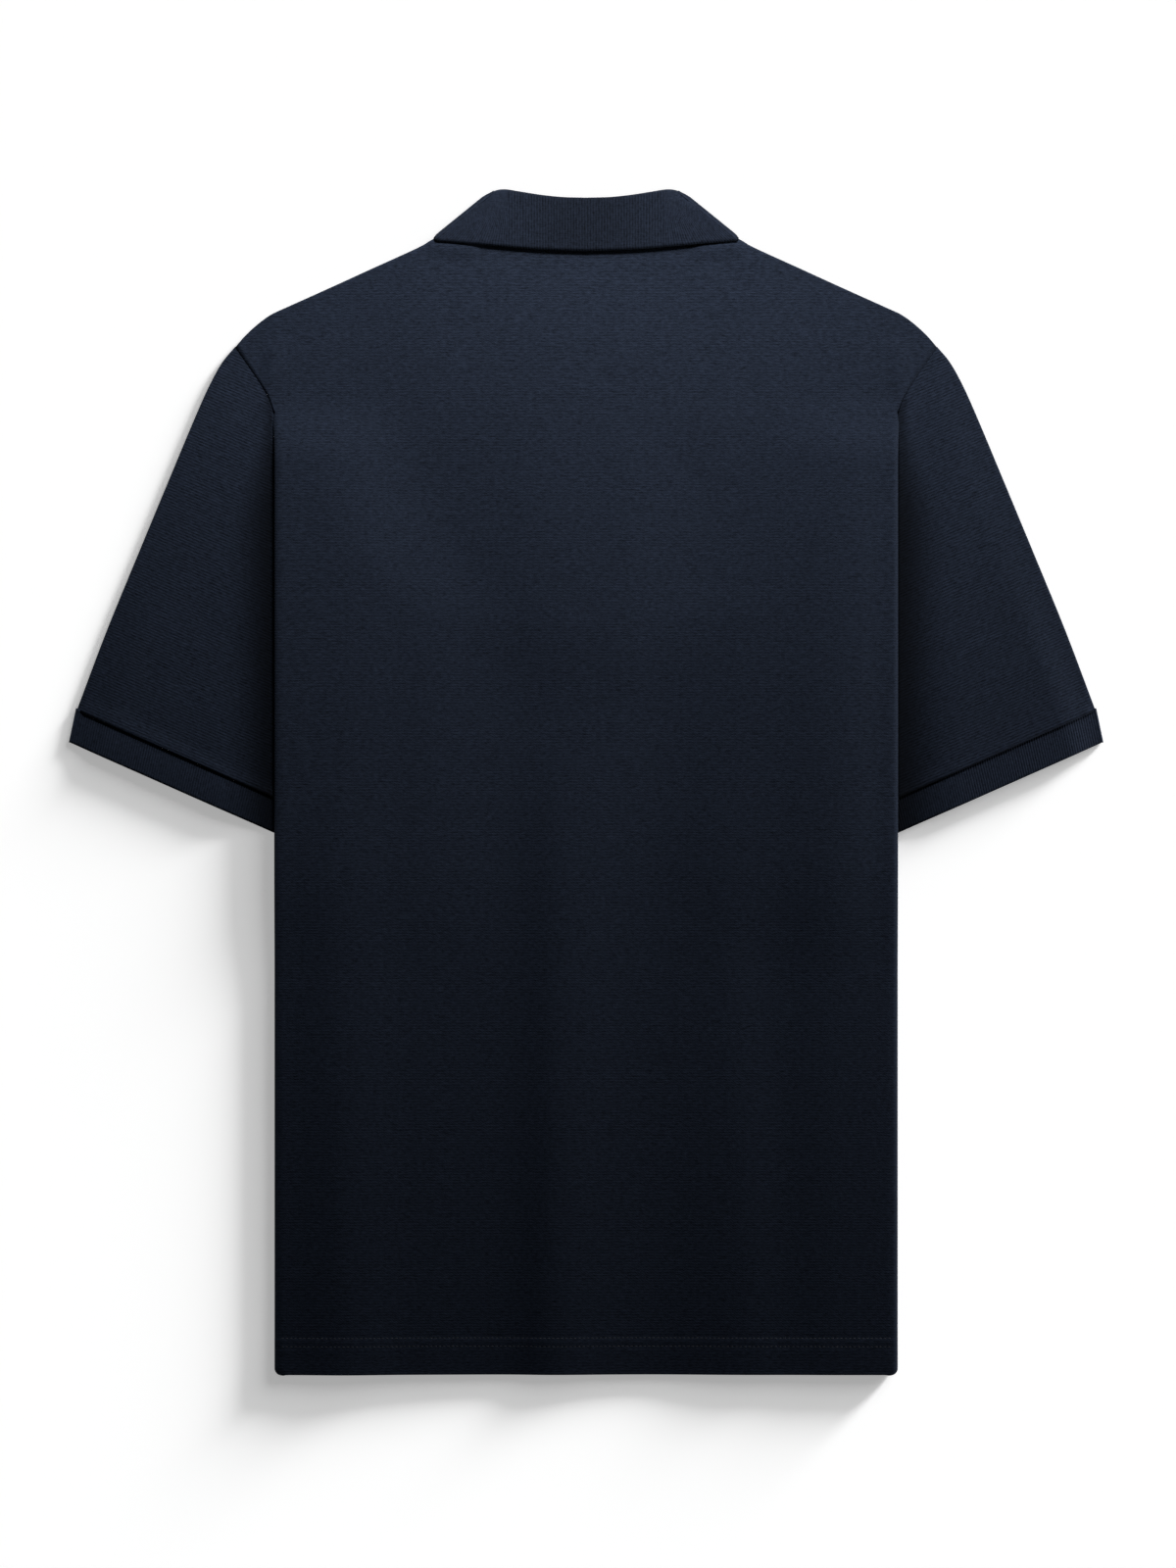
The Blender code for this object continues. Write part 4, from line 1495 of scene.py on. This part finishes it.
@dataclass(frozen=True)
class Spot:
    """A soft lamp close by: its place, the point it shines at, and its strength, size and cone."""

    name: str
    place: Three
    aim: Three
    power: float
    radius: float
    cone: float
    lights_floor: bool = False

    def lamp(self) -> bpy.types.Object:
        """The lamp in its place."""
        data = bpy.data.lights.new(self.name, "SPOT")
        data.energy = self.power
        data.shadow_soft_size = self.radius
        data.spot_size = math.radians(self.cone)
        data.spot_blend = 1.0
        lamp = hung(data, Vector(self.place) - Vector(self.aim))
        lamp.location = self.place
        return lamp


@dataclass(frozen=True)
class Daylight:
    """Low light from far off: its direction, its strength, and the angle that it fills in the sky."""

    name: str
    light_from: Three
    power: float
    spread: float
    lights_floor: bool = True

    def lamp(self) -> bpy.types.Object:
        """The lamp, which gives the soft shadows beside the shirt."""
        data = bpy.data.lights.new(self.name, "SUN")
        data.energy = self.power
        data.angle = math.radians(self.spread)
        return hung(data, Vector(self.light_from))


@dataclass(frozen=True)
class Studio:
    """Floor, lights and the camera that looks straight down."""

    view_height: float = 1.008
    centre: Span = (0.0012, -0.0019)
    lens: float = 85.0
    sensor: float = 36.0
    lamps: tuple[Spot | Daylight, ...] = (
        Spot("key", (0.06, 0.95, 0.55), (0.0, 0.68, 0.0), 84.0, 0.10, 118.0),
        Spot("rake", (1.15, 0.10, 0.13), (0.0, -0.10, 0.0), 53.0, 0.10, 100.0),
        Daylight("window", (1.0, 1.0, 0.191), 9.8, 11.0),
        Daylight("sky", (1.0, 1.0, 0.290), 3.0, 51.6),
    )
    room: float = 0.045
    floor_size: float = 30.0
    floor_z: float = -0.0002

    def floor(self) -> bpy.types.Object:
        """A plain pale surface under the shirt."""
        bpy.ops.mesh.primitive_plane_add(size=self.floor_size, location=(0, 0, self.floor_z))
        floor = bpy.context.object
        floor.name = "paper"
        floor.data.materials.append(TableFinish().material())
        return floor

    @staticmethod
    def light(lamp: bpy.types.Object, floor: bpy.types.Object, lit: bool) -> None:
        """Let a lamp light the floor alone or all but the floor; the shirt throws its shadow in both."""
        lit_by = bpy.data.collections.new(f"{lamp.name} lights")
        lamp.light_linking.receiver_collection = lit_by
        lit_by.objects.link(floor)
        lit_by.collection_objects[0].light_linking.link_state = "INCLUDE" if lit else "EXCLUDE"

    def camera(self) -> None:
        """A long lens straight above the shirt."""
        data = bpy.data.cameras.new("overhead")
        data.lens = self.lens
        data.sensor_width = self.sensor
        distance = self.view_height * self.lens / self.sensor
        camera = bpy.data.objects.new("overhead", data)
        camera.location = (*self.centre, distance)
        bpy.context.scene.collection.objects.link(camera)
        bpy.context.scene.camera = camera

    def build(self) -> None:
        """Set up floor, lights, sky and camera."""
        floor = self.floor()
        for source in self.lamps:
            self.light(source.lamp(), floor, source.lights_floor)
        world = bpy.data.worlds.new("room")
        world.use_nodes = True
        sky = world.node_tree.nodes["Background"].inputs
        sky["Color"].default_value = (1, 1, 1, 1)
        sky["Strength"].default_value = self.room
        bpy.context.scene.world = world
        bpy.context.scene.view_settings.view_transform = "Standard"
        self.camera()
        LOG.info("studio")


@dataclass(frozen=True)
class Shirt:
    """The whole shirt: sizes shared by its pieces, its finishes and its creases."""

    navy: Colour = (0.0091, 0.0126, 0.0216, 1.0)
    rib: Colour = (0.0068, 0.0094, 0.0162, 1.0)
    thread: Colour = (0.0100, 0.0130, 0.0215, 1.0)
    horn: Colour = (0.012, 0.014, 0.020, 1.0)
    layout: Layout = field(default_factory=Layout)
    front_creases: tuple[Crease, ...] = (
        Crease((-14, 70), (-24, -520), 1.3, 75, 62),
        Crease((-17, 40), (-23, -520), 1.2, 28, 18),
        Crease((70, 60), (116, -520), 1.1, 26, 58),
    )
    creases: tuple[Crease, ...] = (
        Crease((-14, 260), (-24, -520), 2.8, 78, 66),
        Crease((-17, 60), (-23, -520), 1.9, 28, 18),
        Crease((70, 60), (116, -520), 1.5, 26, 58),
        Crease((-160, 20), (-150, -540), 1.5, 38, 24),
        Crease((164, 250), (160, -150), 1.6, 22, 60),
        Crease((202, 286), (202, 237), 1.0, 4, 9),
        Crease((-202, 286), (-202, 237), 1.0, 9, 4),
        Crease((66, 339.8), (104, 344.2), 1.5, 3.5, 5),
        Crease((-104, 344.2), (-66, 339.8), 1.5, 3.5, 5),
    )

    hem_reach: Span = (196.0, 128.0)
    hem_points: int = 400

    def hem_rows(self, panel: Panel, reach: float) -> Paths:
        """The twin rows of stitches above a panel's hem, on its outer face.

        Args:
            panel: the back or the front.
            reach: how far the rows run to either side.

        Returns:
            The rows' paths.
        """
        rows = []
        outer = (1 if panel.is_back else -1) * (self.layout.cloth.wall / 2 + PROUD)
        for up in (panel.hem_depth, panel.hem_depth - panel.stitch_gap):
            x = np.linspace(-reach, reach, self.hem_points)
            y = np.full(len(x), self.layout.hem + up)
            rows.append(np.column_stack([x, y, panel.height(x, y) + outer]))
        return rows

    def build(self) -> None:
        """Build every piece in order."""
        layout = self.layout
        back = Panel("back_panel", layout, layout.cloth.turn(2), 3.6, True, self.creases)
        back.build(PiqueFinish("back_pique", self.navy), ("front_panel",))
        front = Panel("front_panel", layout, layout.cloth.turn(1), 7.0, False, self.front_creases)
        front.build(PiqueFinish("front_pique", self.navy), ())
        for side in Side:
            grain = Grain.SLEEVE_RIGHT if side is Side.RIGHT else Grain.SLEEVE_LEFT
            which = side.name.lower()
            Sleeve(side, layout).build(
                PiqueFinish(f"sleeve_pique_{which}", self.navy, grain, rows=0.7, knit_shade_tone=0.6),
                RibFinish(f"cuff_rib_{which}", self.navy, grain),
            )
        Collar(layout).build(RibFinish("collar_rib", self.rib))
        placket = Placket(layout)
        placket.build(PiqueFinish("placket_pique", self.navy), ButtonFinish("button_plastic", self.horn))
        thread = ThreadFinish("sewing_thread", self.thread)
        rows = [self.hem_rows(panel, reach) for panel, reach in zip((back, front), self.hem_reach)]
        Stitching().sew("hem_stitches_back", rows[0], thread, "body_pique")
        Stitching(face=-1).sew("hem_stitches_front", rows[1], thread, "body_pique")
        placket.sew(thread)


def main() -> None:
    """Build the shirt and the studio."""
    logging.basicConfig(level=logging.INFO, format="%(name)s: %(message)s")
    Shirt().build()
    Studio().build()
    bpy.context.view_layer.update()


if __name__ == "__main__":
    main()
